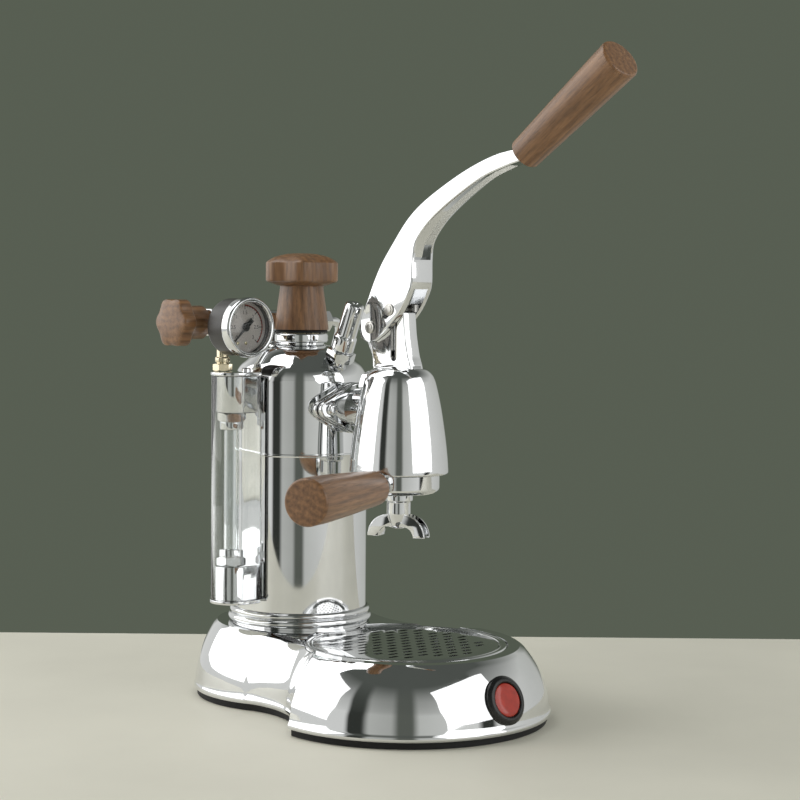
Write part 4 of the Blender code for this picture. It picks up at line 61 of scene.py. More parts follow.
# The machine's main places in millimetres: X and Y from the boiler's axis, with -Y to the front, and
# Z from the table. The base is two lobes, and one pipe carries the steam valve and the wand.
LOBES_APART, BACK_LOBE, FRONT_LOBE = 113.1, 76.0, 99.6
GROUP_FORWARD = 104.5
PORT_HEIGHT = 211.0
PIPE_BACK, PIPE_HEIGHT = 30.0, 270.0
GAUGE_SIDE, GAUGE_HEIGHT = -65.0, 267.5
SIGHT_SIDE, SHIELD_SIDE = -64.0, -62.6
FULCRUM, PISTON_PIN = (-83.7, 268.4), (-104.5, 281.0)
HANDLE_FOOT, HANDLE_LEAN = (-219.15, 381.97), 145.1
GRIP_HEIGHT, GRIP_HEADING = 161.5, 202.0
BADGE_LEAN = 20.0
LEVER_HALF, LEVER_END_HALF = 10.5, 5.2

# The camera: its angles in degrees, its distance, shift to the right and height in millimetres, its aim
# from the boiler's foot and its lens
CAMERA_TURN, CAMERA_PITCH, CAMERA_ROLL = -43.25, 3.45, 0.5
CAMERA_AWAY, CAMERA_SIDE, CAMERA_RISE, CAMERA_AIM = 1402.9, 30.76, 216.5, (0.0, -60.0, 0.0)
SENSOR, LENS = 36.0, 88.758


def middle(node):
    """The middle of a node's box at rest."""
    low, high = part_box(node)
    return (Vector(low) + Vector(high)) / 2.0


# The upright axes that the pieces are turned about, read from the frame
BOILER = Vector((middle("neck_collar").x, middle("neck_collar").y, 0.0))
GROUP = Vector((BOILER.x, BOILER.y - GROUP_FORWARD * MM, 0.0))


def hexed(code):
    """A linear colour from an sRGB hex value."""
    parts = [int(code[i:i + 2], 16) / 255.0 for i in (1, 3, 5)]
    return tuple(p / 12.92 if p <= 0.04045 else ((p + 0.055) / 1.055) ** 2.4 for p in parts)


def size_setting(name, about, millimetres):
    """A length in the sidebar."""
    return FloatProperty(name=name, description=about, default=millimetres * MM, unit="LENGTH")


def colour_setting(name, about, code):
    """A colour in the sidebar, from an sRGB hex value."""
    return FloatVectorProperty(name=name, description=about, subtype="COLOR", size=3, default=hexed(code))


class MachineSizes(bpy.types.PropertyGroup):
    """Sizes of the visible pieces."""

    boiler_radius: size_setting("Boiler radius", "Outside radius of the boiler's side", 48.5)
    tray_radius: size_setting("Tray radius", "Outside radius of the drip tray's rim", 70.0)
    bell_radius: size_setting("Bell radius", "Radius of the group bell near its mouth", 34.3)
    gauge_radius: size_setting("Gauge radius", "Outside radius of the gauge's bezel", 21.1)
    grip_radius: size_setting("Grip radius", "Radius of the portafilter grip at its end", 15.5)
    smoothness: IntProperty(name="Smoothness", description="Faces round each turned piece", default=96,
                            min=24)


class MachineColours(bpy.types.PropertyGroup):
    """Colours of the finishes."""

    chrome: colour_setting("Chrome", "Polished chrome plate", "#E4E5E6")
    walnut_light: colour_setting("Walnut, light", "Paler growth rings of the walnut", "#9A714C")
    walnut_dark: colour_setting("Walnut, dark", "Darker growth rings of the walnut", "#63462F")
    brass: colour_setting("Brass", "Machined brass fittings", "#E4D8BA")
    enamel: colour_setting("Badge enamel", "Glossy enamel of the badge's disc", "#B0301F")
    rubber: colour_setting("Rubber", "Foot band and gaskets", "#1B1B1C")
    floor: colour_setting("Floor", "Plain pale floor", "#EEEBDC")


# Finishes

def node(tree, kind, links=None, stops=(), inputs=None, **settings):
    """Add one node: the links into it, its ramp's stops, its input values and its settings."""
    made = tree.nodes.new(kind)
    for key, value in settings.items():
        setattr(made, key, value)
    for socket, value in (inputs or {}).items():
        made.inputs[socket].default_value = value
    for socket, source in (links or {}).items():
        tree.links.new(source, made.inputs[socket])
    for place, colour in stops[2:]:
        made.color_ramp.elements.new(place)
    for element, (place, colour) in zip(made.color_ramp.elements if stops else (), stops):
        element.position = place
        element.color = (*colour, 1.0)
    return made


def finish(name, **values):
    """A new material with values on its shader, given with its tree, the shader and object coordinates."""
    made = bpy.data.materials.new(name)
    made.use_nodes = True
    tree = made.node_tree
    shader = tree.nodes["Principled BSDF"]
    for key, value in values.items():
        if key == "Base Color":
            value = (*value, 1.0)
        shader.inputs[key].default_value = value
    return made, tree, shader, node(tree, "ShaderNodeTexCoord").outputs["Object"]


def feed(tree, shader, sources):
    """Link outputs into the shader, by the name of its socket."""
    for socket, source in sources.items():
        tree.links.new(source, shader.inputs[socket])


def chrome_plate(name, waviness, wave_mm, dull):
    """Bright chrome plate over polished metal.

    The eye sees a clean mirror, bent a little by the metal under it, and a faint haze where it's handled.
    """
    chrome = bpy.context.scene.machine_colours.chrome
    made, tree, shader, spots = finish(name, **{"Base Color": chrome, "Metallic": 1.0, "Roughness": dull})
    haze = node(tree, "ShaderNodeTexNoise", {"Vector": spots},
                inputs={"Scale": 1.0 / (22.0 * MM), "Detail": 3.0})
    rough = node(tree, "ShaderNodeMapRange", {"Value": haze.outputs[0]},
                 inputs={"To Min": dull * 0.6, "To Max": dull * 1.7})
    tint = node(tree, "ShaderNodeValToRGB", {"Fac": haze.outputs[0]},
                stops=((0.3, [c * 0.95 for c in chrome]), (0.7, chrome)))
    wave = node(tree, "ShaderNodeTexNoise", {"Vector": spots},
                inputs={"Scale": 1.0 / (wave_mm * MM), "Detail": 0.5})
    bump = node(tree, "ShaderNodeBump", {"Height": wave.outputs[0]},
                inputs={"Strength": waviness, "Distance": 0.2 * MM})
    feed(tree, shader, {"Roughness": rough.outputs[0], "Base Color": tint.outputs[0],
                        "Normal": bump.outputs[0]})
    return made


def brushed_steel(name, line_mm):
    """Stainless steel, turned or brushed: a soft sheen broken by fine lines."""
    made, tree, shader, spots = finish(name, **{"Base Color": hexed("#B9B7B2"), "Metallic": 1.0,
                                                "Roughness": 0.25})
    lie = node(tree, "ShaderNodeMapping", {"Vector": spots}, inputs={"Scale": (1.0, 1.0, 14.0)})
    lines = node(tree, "ShaderNodeTexNoise", {"Vector": lie.outputs[0]},
                 inputs={"Scale": 1.0 / (line_mm * MM), "Detail": 2.0})
    rough = node(tree, "ShaderNodeMapRange", {"Value": lines.outputs[0]},
                 inputs={"To Min": 0.16, "To Max": 0.36})
    bump = node(tree, "ShaderNodeBump", {"Height": lines.outputs[0]},
                inputs={"Strength": 0.15, "Distance": 0.02 * MM})
    feed(tree, shader, {"Roughness": rough.outputs[0], "Normal": bump.outputs[0]})
    return made


def machined_brass(name):
    """Machined brass that has dulled a little: a warm metal with faint tool marks."""
    brass = bpy.context.scene.machine_colours.brass
    made, tree, shader, spots = finish(name, **{"Base Color": brass, "Metallic": 1.0, "Roughness": 0.22})
    stain = node(tree, "ShaderNodeTexNoise", {"Vector": spots},
                 inputs={"Scale": 1.0 / (3.0 * MM), "Detail": 4.0})
    tint = node(tree, "ShaderNodeValToRGB", {"Fac": stain.outputs[0]},
                stops=((0.3, [c * 0.88 for c in brass]), (0.62, brass)))
    rough = node(tree, "ShaderNodeMapRange", {"Value": stain.outputs[0]},
                 inputs={"To Min": 0.12, "To Max": 0.24})
    feed(tree, shader, {"Base Color": tint.outputs[0], "Roughness": rough.outputs[0]})
    return made


def turned_walnut(name, along):
    """Walnut, turned and oiled: streaked grain along the piece, short dark pores and a satin gloss."""
    colours = bpy.context.scene.machine_colours
    made, tree, shader, spots = finish(name, **{"Base Color": colours.walnut_light, "Roughness": 0.36,
                                                "IOR": 1.5, "Coat Weight": 0.2, "Coat Roughness": 0.22})
    turn = Vector(along).rotation_difference(Vector((0.0, 0.0, 1.0))).to_euler()
    lie = node(tree, "ShaderNodeMapping", {"Vector": spots}, inputs={"Rotation": turn})
    drawn = node(tree, "ShaderNodeMapping", {"Vector": lie.outputs[0]}, inputs={"Scale": (1.0, 1.0, 0.10)})
    # Growth rings about 5 mm apart, cut along their length
    rings = node(tree, "ShaderNodeTexWave", {"Vector": drawn.outputs[0]}, bands_direction="X",
                 inputs={"Scale": 1.0 / (16.0 * MM), "Distortion": 3.0, "Detail": 3.0,
                         "Detail Scale": 1.4})
    # Fine streaks between them, 2.4 mm wide
    streaks = node(tree, "ShaderNodeTexNoise", {"Vector": drawn.outputs[0]},
                   inputs={"Scale": 1.0 / (2.4 * MM), "Detail": 3.0})
    both = node(tree, "ShaderNodeMath", {0: rings.outputs["Fac"], 2: streaks.outputs[0]}, inputs={1: 0.16},
                operation="MULTIPLY_ADD")
    tint = node(tree, "ShaderNodeValToRGB", {"Fac": both.outputs[0]}, stops=(
        (0.30, colours.walnut_dark), (0.56, hexed("#7F5B3C")), (0.88, colours.walnut_light)))
    # Open pores, 0.7 mm wide and drawn out along the grain
    thin = node(tree, "ShaderNodeMapping", {"Vector": lie.outputs[0]}, inputs={"Scale": (1.0, 1.0, 0.06)})
    pores = node(tree, "ShaderNodeTexNoise", {"Vector": thin.outputs[0]},
                 inputs={"Scale": 1.0 / (0.7 * MM), "Detail": 1.0})
    dark = node(tree, "ShaderNodeValToRGB", {"Fac": pores.outputs[0]},
                stops=((0.32, hexed("#B4B4B4")), (0.44, (1.0, 1.0, 1.0))))
    shade = node(tree, "ShaderNodeMix", {6: tint.outputs[0], 7: dark.outputs[0]}, inputs={0: 0.5},
                 data_type="RGBA", blend_type="MULTIPLY")
    rough = node(tree, "ShaderNodeMapRange", {"Value": pores.outputs[0]},
                 inputs={"To Min": 0.46, "To Max": 0.30})
    bump = node(tree, "ShaderNodeBump", {"Height": pores.outputs[0]},
                inputs={"Strength": 0.12, "Distance": 0.05 * MM})
    feed(tree, shader, {"Base Color": shade.outputs[2], "Roughness": rough.outputs[0],
                        "Normal": bump.outputs[0]})
    return made


def moulded(name, colour, rough, grain_mm, gloss=0.5):
    """A moulded, printed or sprayed surface: one colour with a fine grain and slight mottling."""
    made, tree, shader, spots = finish(name, **{"Base Color": colour, "Roughness": rough,
                                                "Specular IOR Level": gloss})
    grain = node(tree, "ShaderNodeTexNoise", {"Vector": spots},
                 inputs={"Scale": 1.0 / (grain_mm * MM), "Detail": 3.0})
    tint = node(tree, "ShaderNodeValToRGB", {"Fac": grain.outputs[0]},
                stops=((0.3, [c * 0.8 for c in colour]), (0.7, [c * 1.15 for c in colour])))
    wide = node(tree, "ShaderNodeMapRange", {"Value": grain.outputs[0]},
                inputs={"To Min": rough * 0.85, "To Max": rough * 1.15})
    bump = node(tree, "ShaderNodeBump", {"Height": grain.outputs[0]},
                inputs={"Strength": 0.2, "Distance": 0.03 * MM})
    feed(tree, shader, {"Base Color": tint.outputs[0], "Roughness": wide.outputs[0],
                        "Normal": bump.outputs[0]})
    return made


def clear(name, colour, ior, rough):
    """Clear glass or acrylic: almost unseen face on, bright along its edges, with a trace of dust."""
    made, tree, shader, spots = finish(name, **{"Base Color": colour, "Roughness": rough, "IOR": ior,
                                                "Transmission Weight": 1.0})
    dust = node(tree, "ShaderNodeTexNoise", {"Vector": spots},
                inputs={"Scale": 1.0 / (9.0 * MM), "Detail": 4.0})
    wide = node(tree, "ShaderNodeMapRange", {"Value": dust.outputs[0]},
                inputs={"To Min": rough * 0.5, "To Max": rough * 1.5})
    feed(tree, shader, {"Roughness": wide.outputs[0]})
    return made


def floor_finish():
    """Honed pale stone: a matt floor with faint, wide clouds."""
    tone = bpy.context.scene.machine_colours.floor
    made, tree, shader, spots = finish("limestone, honed", **{"Base Color": tone, "Roughness": 0.55})
    cloud = node(tree, "ShaderNodeTexNoise", {"Vector": spots},
                 inputs={"Scale": 1.0 / (140.0 * MM), "Detail": 5.0})
    tint = node(tree, "ShaderNodeValToRGB", {"Fac": cloud.outputs[0]},
                stops=((0.3, [c * 0.93 for c in tone]), (0.7, tone)))
    feed(tree, shader, {"Base Color": tint.outputs[0]})
    return made


def make_finishes():
    """Every finish of the machine, by a short name."""
    colours = bpy.context.scene.machine_colours
    grip, handle = math.radians(GRIP_HEADING), math.radians(HANDLE_LEAN)
    return {
        # Spun and pressed brass under chrome: a clean mirror with long, slow waves
        "pressed": chrome_plate("chrome plate, pressed", 0.10, 40.0, 0.035),
        # Sand-cast brass, linished and plated: a mirror with a slightly rippled skin
        "cast": chrome_plate("chrome plate, cast", 0.16, 12.0, 0.055),
        # Bar stock, turned and plated: crisp edges and fine highlights
        "bar": chrome_plate("chrome plate, turned", 0.05, 6.0, 0.045),
        "steel": brushed_steel("stainless steel, turned", 0.6),
        "grid": chrome_plate("chrome plate, punched sheet", 0.12, 18.0, 0.07),
        "brass": machined_brass("brass, machined"),
        "cap walnut": turned_walnut("walnut, turned upright", (0.0, 0.0, 1.0)),
        "knob walnut": turned_walnut("walnut, turned across", (1.0, 0.0, 0.0)),
        "grip walnut": turned_walnut("walnut, turned grip", (math.cos(grip), math.sin(grip), 0.0)),
        "handle walnut": turned_walnut("walnut, turned handle", (0.0, math.cos(handle), math.sin(handle))),
        # Moulded nitrile rubber: dull and a little grey where it has been wiped
        "rubber": moulded("rubber, moulded", colours.rubber, 0.62, 0.8, 0.3),
        # Phenolic plastic, moulded: black with a low, even shine
        "phenolic": moulded("phenolic, moulded", hexed("#161617"), 0.28, 1.2),
        # Stoved enamel on steel: dark grey with a soft shine
        "case": moulded("stoved enamel", hexed("#3A3836"), 0.33, 0.9),
        # Vitreous enamel: a deep, glassy red
        "enamel": moulded("vitreous enamel", colours.enamel, 0.12, 6.0, 0.6),
        # Silvered brass plate: pale and satin, with a fine grain
        "dial": moulded("silvered brass plate", hexed("#CFC5C0"), 0.32, 0.5, 0.6),
        # Screen-printed ink
        "ink": moulded("printed ink, black", hexed("#1C1A1A"), 0.5, 0.6, 0.3),
        "red ink": moulded("printed ink, red", hexed("#8C3B2E"), 0.45, 0.6, 0.3),
        # Borosilicate gauge glass and the thin lens of the gauge
        "glass": clear("borosilicate glass", (0.97, 0.99, 0.985), 1.47, 0.01),
        # Cast acrylic: clear, with a softer edge than glass
        "acrylic": clear("acrylic, bent", (0.96, 0.97, 0.97), 1.49, 0.03),
        "floor": floor_finish(),
    }


# Shapes. Profiles and outlines are in millimetres, and a piece is scaled to metres as it is placed.
# A profile's point is a radius, a height along the axis and, where it is eased, the corner's radius.

def soft_line(spots, per=6):
    """A smooth curve through the given points."""
    line = [Vector(s) for s in spots]
    padded = [line[0] * 2.0 - line[1]] + line + [line[-1] * 2.0 - line[-2]]
    curve = []
    for a, b, c, d in zip(padded, padded[1:], padded[2:], padded[3:]):
        for step in range(per):
            t = step / per
            curve.append(0.5 * (2.0 * b + (c - a) * t + (2.0 * a - 5.0 * b + 4.0 * c - d) * t * t
                                + (3.0 * b - a - 3.0 * c + d) * t ** 3))
    return [tuple(s) for s in curve] + [tuple(line[-1])]


def eased(spots, closed=False, per=4):
    """A profile whose corners are rounded where a point gives a third value, the corner's radius."""
    count = len(spots)
    line = []
    for i, spot in enumerate(spots):
        here = Vector(spot[:2])
        ends = not closed and i in (0, count - 1)
        if len(spot) < 3 or ends:
            line.append(tuple(here))
            continue
        back = Vector(spots[i - 1][:2]) - here
        on = Vector(spots[(i + 1) % count][:2]) - here
        start = here + back.normalized() * min(spot[2], back.length * 0.49)
        end = here + on.normalized() * min(spot[2], on.length * 0.49)
        for step in range(per + 1):
            t = step / per
            line.append(tuple(start * (1 - t) ** 2 + here * 2.0 * t * (1 - t) + end * t * t))
    return line


def turned(profile, steps=None, closed=False, lobes=(0, 0.0)):
    """A turned shape about Z. lobes is the count and depth of a fluted rim's hollows.

    A point's third value is its share of that depth.
    """
    steps = steps or bpy.context.scene.machine_sizes.smoothness
    shape = bmesh.new()
    rows = []
    for radius, z, *share in profile:
        if radius < 1e-6:
            rows.append([shape.verts.new((0.0, 0.0, z))])
            continue
        row = []
        for step in range(steps):
            angle = 2.0 * math.pi * step / steps
            hollow = lobes[1] * (0.5 - 0.5 * math.cos(lobes[0] * angle))
            out = radius - hollow * (share[0] if share else 0.0)
            row.append(shape.verts.new((out * math.cos(angle), out * math.sin(angle), z)))
        rows.append(row)
    pairs = list(zip(rows, rows[1:])) + ([(rows[-1], rows[0])] if closed else [])
    for low, high in pairs:
        for step in range(steps):
            after = (step + 1) % steps
            if len(low) == 1 and len(high) == 1:
                continue
            if len(low) == 1:
                shape.faces.new((low[0], high[after], high[step]))
            elif len(high) == 1:
                shape.faces.new((low[step], low[after], high[0]))
            else:
                shape.faces.new((low[step], low[after], high[after], high[step]))
    bmesh.ops.recalc_face_normals(shape, faces=shape.faces)
    return shape


def lathed(spots, steps=None, closed=False):
    """A turned shape whose profile's corners are eased."""
    return turned(eased(spots, closed), steps, closed)


def rod(radius, low, high, steps=None):
    """A plain round bar about Z."""
    return turned([(0.0, high), (radius, high), (radius, low), (0.0, low)], steps)


def skinned(rings, looped=False):
    """A skin over rings of points. Its ends are flat, or joined to each other where it is looped."""
    shape = bmesh.new()
    rows = [[shape.verts.new(spot) for spot in ring] for ring in rings]
    count = len(rings[0])
    for low, high in zip(rows, rows[1:] + (rows[:1] if looped else [])):
        for i in range(count):
            j = (i + 1) % count
            shape.faces.new((low[i], low[j], high[j], high[i]))
    if not looped:
        shape.faces.new(list(reversed(rows[0])))
        shape.faces.new(rows[-1])
    bmesh.ops.recalc_face_normals(shape, faces=shape.faces)
    return shape


def plate(outline, low, high, way="XY", edge=0.0, segments=3):
    """A flat outline in the given plane, with thickness and, where edge is set, eased rims."""
    spread_out = {"XY": lambda a, b, c: (a, b, c), "YZ": lambda a, b, c: (c, a, b),
                  "XZ": lambda a, b, c: (a, c, b)}
    shape = skinned([[spread_out[way](a, b, c) for a, b in outline] for c in (low, high)])
    if edge:
        rims = [e for e in shape.edges if len(e.link_faces) == 2
                and e.calc_face_angle(0.0) > math.radians(60.0)]
        bmesh.ops.bevel(shape, geom=rims, offset=edge, segments=segments, affect="EDGES", profile=0.5,
                        clamp_overlap=True)
    return shape


def arc_line(centre, radius, start, end, count):
    """Points along an arc, angles in degrees."""
    turn = [math.radians(start + (end - start) * i / (count - 1)) for i in range(count)]
    return [(centre[0] + radius * math.cos(t), centre[1] + radius * math.sin(t)) for t in turn]


def swept(line, radius, around=32):
    """A round bar along a smooth line of points."""
    line = [Vector(s) for s in line]
    rings = []
    side = None
    for i, spot in enumerate(line):
        ahead = (line[min(i + 1, len(line) - 1)] - line[max(i - 1, 0)]).normalized()
        side = ahead.orthogonal() if side is None else side - ahead * side.dot(ahead)
        side.normalize()
        over = ahead.cross(side)
        turns = [2.0 * math.pi * k / around for k in range(around)]
        rings.append([spot + (side * math.cos(turn) + over * math.sin(turn)) * radius for turn in turns])
    return skinned(rings)


def box(long, wide, low, high):
    """A block that stands about the axis."""
    x, y = long / 2.0, wide / 2.0
    return plate([(-x, -y), (x, -y), (x, y), (-x, y)], low, high)


def hex_nut(half, low, high, bore=0.0, chamfer=0.55, land=0.15, step=7.5):
    """A hexagon nut with turned chamfers, half its width across flats given."""
    turns = [math.radians(30.0 + step * k) for k in range(int(360.0 / step))]
    flat = half * 0.97
    rings = []
    for z, way in ((low, 1.0), (high, -1.0)):
        face = [(flat * math.cos(turn), flat * math.sin(turn), z) for turn in turns]
        rim = []
        for turn in turns:
            out = half / math.cos((turn + math.pi / 6.0) % (math.pi / 3.0) - math.pi / 6.0)
            drop = way * ((out - half) * chamfer + land)
            rim.append((out * math.cos(turn), out * math.sin(turn), z + drop))
        rings += [face, rim] if way > 0 else [rim, face]
    if bore:
        rings += [[(bore * math.cos(turn), bore * math.sin(turn), z) for turn in turns]
                  for z in (high, low)]
    return skinned(rings, looped=bool(bore))


def gathered(*shapes):
    """Several shapes as one. Each may be a pair of a shape and its matrix in millimetres."""
    whole = bmesh.new()
    for shape in shapes:
        if isinstance(shape, tuple):
            shape[0].transform(shape[1])
            shape = shape[0]
        carry = bpy.data.meshes.new("carry")
        shape.to_mesh(carry)
        shape.free()
        whole.from_mesh(carry)
        bpy.data.meshes.remove(carry)
    return whole


def shifted(x=0.0, y=0.0, z=0.0):
    """A move in millimetres."""
    return Matrix.Translation((x, y, z))


def tilted(axis, degrees):
    """A turn about X, Y or Z."""
    return Matrix.Rotation(math.radians(degrees), 4, axis)


def carved(body, cutters):
    """Cut shapes out of a body. Both are shapes in millimetres, and the result is one too."""
    def as_object(shape):
        mesh = bpy.data.meshes.new("work")
        shape.to_mesh(mesh)
        shape.free()
        made = bpy.data.objects.new("work", mesh)
        bpy.context.scene.collection.objects.link(made)
        return made
    block = as_object(body)
    tools = [as_object(cutter) for cutter in cutters]
    for tool in tools:
        cut = block.modifiers.new("cut", "BOOLEAN")
        cut.operation = "DIFFERENCE"
        cut.solver = "EXACT"
        cut.object = tool
    bpy.context.view_layer.update()
    done = bpy.data.meshes.new_from_object(block.evaluated_get(bpy.context.evaluated_depsgraph_get()))
    shape = bmesh.new()
    shape.from_mesh(done)
    bpy.data.meshes.remove(done)
    for thing in [block] + tools:
        mesh = thing.data
        bpy.data.objects.remove(thing)
        bpy.data.meshes.remove(mesh)
    return shape


FINISHES = {}


def piece(name, shape, look, origin=None, turn=None, body="machine", stands_for=(), crease=32.0):
    """Make a visible piece: scale and place it, give it its finish and let it ride on its body."""
    shape.transform(Matrix.Diagonal((MM, MM, MM, 1.0)))
    if turn is not None:
        shape.transform(turn.to_4x4())
    if origin is not None:
        shape.transform(Matrix.Translation(origin))
    mesh = bpy.data.meshes.new(name)
    shape.to_mesh(mesh)
    shape.free()
    made = bpy.data.objects.new(name, mesh)
    bpy.context.scene.collection.objects.link(made)
    mesh.shade_smooth()
    mesh.set_sharp_from_angle(angle=math.radians(crease))
    mesh.materials.append(FINISHES[look])
    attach(made, body)
    if stands_for:
        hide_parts(*stands_for)
    return made


def recoat(look, *nodes):
    """Give nodes whose shape is right their finish."""
    for name in nodes:
        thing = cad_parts[name]
        thing.data.materials.clear()
        thing.data.materials.append(FINISHES[look])


# Base, badge, tray and grid

# The cover's wall from its lower edge up: the share of its height, and of how far it draws in
BASE_LEVELS = ((0.0, 0.0), (0.025, -0.045), (0.05, -0.05), (0.08, -0.03), (0.11, 0.01), (0.22, 0.05),
               (0.35, 0.11), (0.48, 0.22), (0.62, 0.36), (0.74, 0.52), (0.85, 0.70), (0.92, 0.83),
               (0.96, 0.92), (1.0, 1.06))


def lobed_plan(inset, fine=3):
    """The base's plan in millimetres: two lobes and hollow flanks, drawn in by the inset."""
    # The back lobe draws in less than the front one
    back, front = BACK_LOBE - inset * 0.75, FRONT_LOBE - inset
    rear = arc_line((0.0, 0.0), back, -24.0, 204.0, 17 * fine)
    fore = arc_line((0.0, -LOBES_APART), front, 176.0, 364.0, 21 * fine)
    a, b = Vector(rear[-1]), Vector(fore[0])
    chord = b - a
    side = Vector((-chord.y, chord.x)).normalized()
    # How far the flank bows in, as a share of its chord
    sag = chord.length * 0.15
    bow = (chord.length ** 2 / 4.0 + sag ** 2) / (2.0 * sag)
    mid = (a + b) / 2.0
    left = []
    for step in range(1, 6 * fine - 1):
        t = step / (6 * fine - 1)
        along = (t - 0.5) * chord.length
        out = math.sqrt(bow ** 2 - along ** 2) - (bow - sag)
        left.append(tuple(mid + chord.normalized() * along + side * out))
    right = [(-x, y) for x, y in reversed(left)]
    return rear + left + fore + right


def base_body():
    """The pressed cover as one smooth skin over the plan's levels."""
    lift, front_height, back_rise, draw = 4.8, 45.7, 4.0, 20.0
    rings = []
    for rise, inset in soft_line(BASE_LEVELS, 2):
        ring = []
        for x, y in lobed_plan(draw * inset):
            share = (y + LOBES_APART + FRONT_LOBE) / (BACK_LOBE + LOBES_APART + FRONT_LOBE)
            ring.append((x, y, lift + rise * (front_height + back_rise * share)))
        rings.append(ring)
    return skinned(rings)


def notched_disc(radius, notch, fine=120):
    """A round outline about the tray's centre, its back cut away round the boiler's foot."""
    y = (radius ** 2 - notch ** 2 - LOBES_APART ** 2) / (2.0 * LOBES_APART)
    x = math.sqrt(notch ** 2 - y ** 2)
    start = math.degrees(math.atan2(y + LOBES_APART, x))
    end = math.degrees(math.atan2(y + LOBES_APART, -x)) - 360.0
    low, high = math.degrees(math.atan2(y, -x)), math.degrees(math.atan2(y, x))
    outline = arc_line((0.0, -LOBES_APART), radius, start, end, fine)
    return outline + arc_line((0.0, 0.0), notch, low, high, 24)[1:-1]


class ESPRESSO_OT_base(bpy.types.Operator):
    """Build the pressed base and the rubber band it stands on"""

    bl_idname = "espresso.base"
    bl_label = "Base"

    def execute(self, context):
        # The openings for the tray's rim and pan, the boiler's foot and the switch
        behind = 52.3
        well = plate(notched_disc(70.3, behind), 48.9, 60.0)
        pan = plate(notched_disc(67.0, behind), 27.0, 49.5)
        seat = rod(50.2, 47.0, 70.0)
        switch = box(40.0, 27.0, 15.5, 34.5)
        switch.transform(shifted(100.0, -LOBES_APART))
        body = carved(base_body(), [well, pan, seat, switch])
        piece("base_cover", body, "pressed", BOILER, stands_for=("base_shell",), crease=24.0)
        # The band's section, up the outside, over and down the inside: how far in, and how high
        levels = ((2.0, 0.4), (2.0, 4.1), (2.4, 4.5), (8.6, 4.5), (9.0, 4.1), (9.0, 0.4), (8.4, 0.0),
                  (2.6, 0.0))
        band = skinned([[(x, y, z) for x, y in lobed_plan(inset)] for inset, z in levels], looped=True)
        piece("foot_band_rubber", band, "rubber", BOILER, stands_for=("foot_band",))
        recoat("steel", "bottom_plate")
        return {"FINISHED"}


class ESPRESSO_OT_badge(bpy.types.Operator):
    """Build the bare enamel badge in its black ring"""

    bl_idname = "espresso.badge"
    bl_label = "Badge"

    def execute(self, context):
        inward, height = 7.2, 25.6
        origin = BOILER + Vector((0.0, inward - LOBES_APART - FRONT_LOBE, height)) * MM
        turn = tilted("X", 90.0 - BADGE_LEAN)
        ring = lathed([(11.5, 5.2, 0.4), (12.2, 6.0, 0.5), (14.2, 5.9, 1.2), (16.5, 3.6, 0.8),
                       (16.5, 2.0, 0.4), (11.5, 2.0, 0.3)], closed=True)
        piece("badge_black_ring", ring, "phenolic", origin, turn, stands_for=("badge_ring",))
        disc = lathed([(0.0, 5.75), (8.0, 5.65, 2.0), (10.9, 5.1, 0.5), (11.2, 4.6, 0.3), (11.2, 2.0),
                       (5.6, 2.0), (5.6, -4.0), (0.0, -4.0)])
        piece("badge_enamel", disc, "enamel", origin, turn, stands_for=("badge_disc",))
        return {"FINISHED"}


class ESPRESSO_OT_tray(bpy.types.Operator):
    """Build the drip tray and the slotted grid that lies in it"""

    bl_idname = "espresso.tray"
    bl_label = "Drip tray and grid"

    def execute(self, context):
        across = context.scene.machine_sizes.tray_radius / MM
        lip, seat, bottom = across - 5.7, 49.3, 29.3
        rim = [(lip, 50.9, 0.2), (across - 5.0, 51.7, 0.4), (across - 3.9, 51.0, 0.4),
               (across - 3.0, 51.0, 0.4), (across - 1.9, 51.7, 0.5), (across - 0.9, 51.5, 0.5),
               (across, 50.2, 0.6), (across, seat, 0.3), (65.5, seat), (65.5, bottom + 5.0, 4.0),
               (60.5, bottom, 4.0), (0.0, bottom)]
        inner = [(0.0, bottom + 1.2), (60.5, bottom + 1.2, 3.0), (62.5, bottom + 5.0, 3.0), (62.5, seat),
                 (lip, seat)]
        tray = turned(eased(rim, per=3) + eased(inner, per=3), closed=True)
        tray.transform(shifted(y=-LOBES_APART))
        tray = carved(tray, [rod(53.1, 20.0, 70.0)])
        wall = plate(arc_line((0.0, 0.0), 54.3, -122.0, -58.0, 32)
                     + arc_line((0.0, 0.0), 53.15, -58.0, -122.0, 32), 29.6, 50.8)
        piece("drip_tray_chrome", gathered(tray, wall), "grid", BOILER, body="tray",
              stands_for=("drip_tray",))
        # The grid is a disc with one straight side, against the tray's curved wall
        radius = across - 6.0
        turn = math.degrees(math.asin((LOBES_APART - 54.7) / radius))
        rim = arc_line((0.0, -LOBES_APART), radius, 180.0 - turn, 360.0 + turn, 120)
        sheet = plate(rim, 49.6, 51.0, edge=0.25, segments=2)
        # Slots in staggered rows, as far out as the reach and clear of the boiler's foot
        slots = bmesh.new()
        long, wide, pitch, row_pitch, reach, clear_of_foot = 8.0, 3.2, 13.4, 7.6, 54.5, 66.0
        rows = int(reach / row_pitch)
        for row in range(-rows, rows + 1):
            y = row * row_pitch
            half = math.sqrt(reach ** 2 - y ** 2)
            offset = pitch / 2.0 if row % 2 else 0.0
            for column in range(-6, 7):
                x = column * pitch + offset
                if abs(x) + long / 2.0 > half or math.hypot(x, y - LOBES_APART) < clear_of_foot:
                    continue
                off = (long - wide) / 2.0
                ends = arc_line((x + off, y - LOBES_APART), wide / 2.0, -90.0, 90.0, 7)
                ends += arc_line((x - off, y - LOBES_APART), wide / 2.0, 90.0, 270.0, 7)
                slots = gathered(slots, plate(ends, 45.0, 55.0))
        piece("drip_grid_chrome", carved(sheet, [slots]), "grid", BOILER, body="grid",
              stands_for=("drip_grid",), crease=40.0)
        return {"FINISHED"}


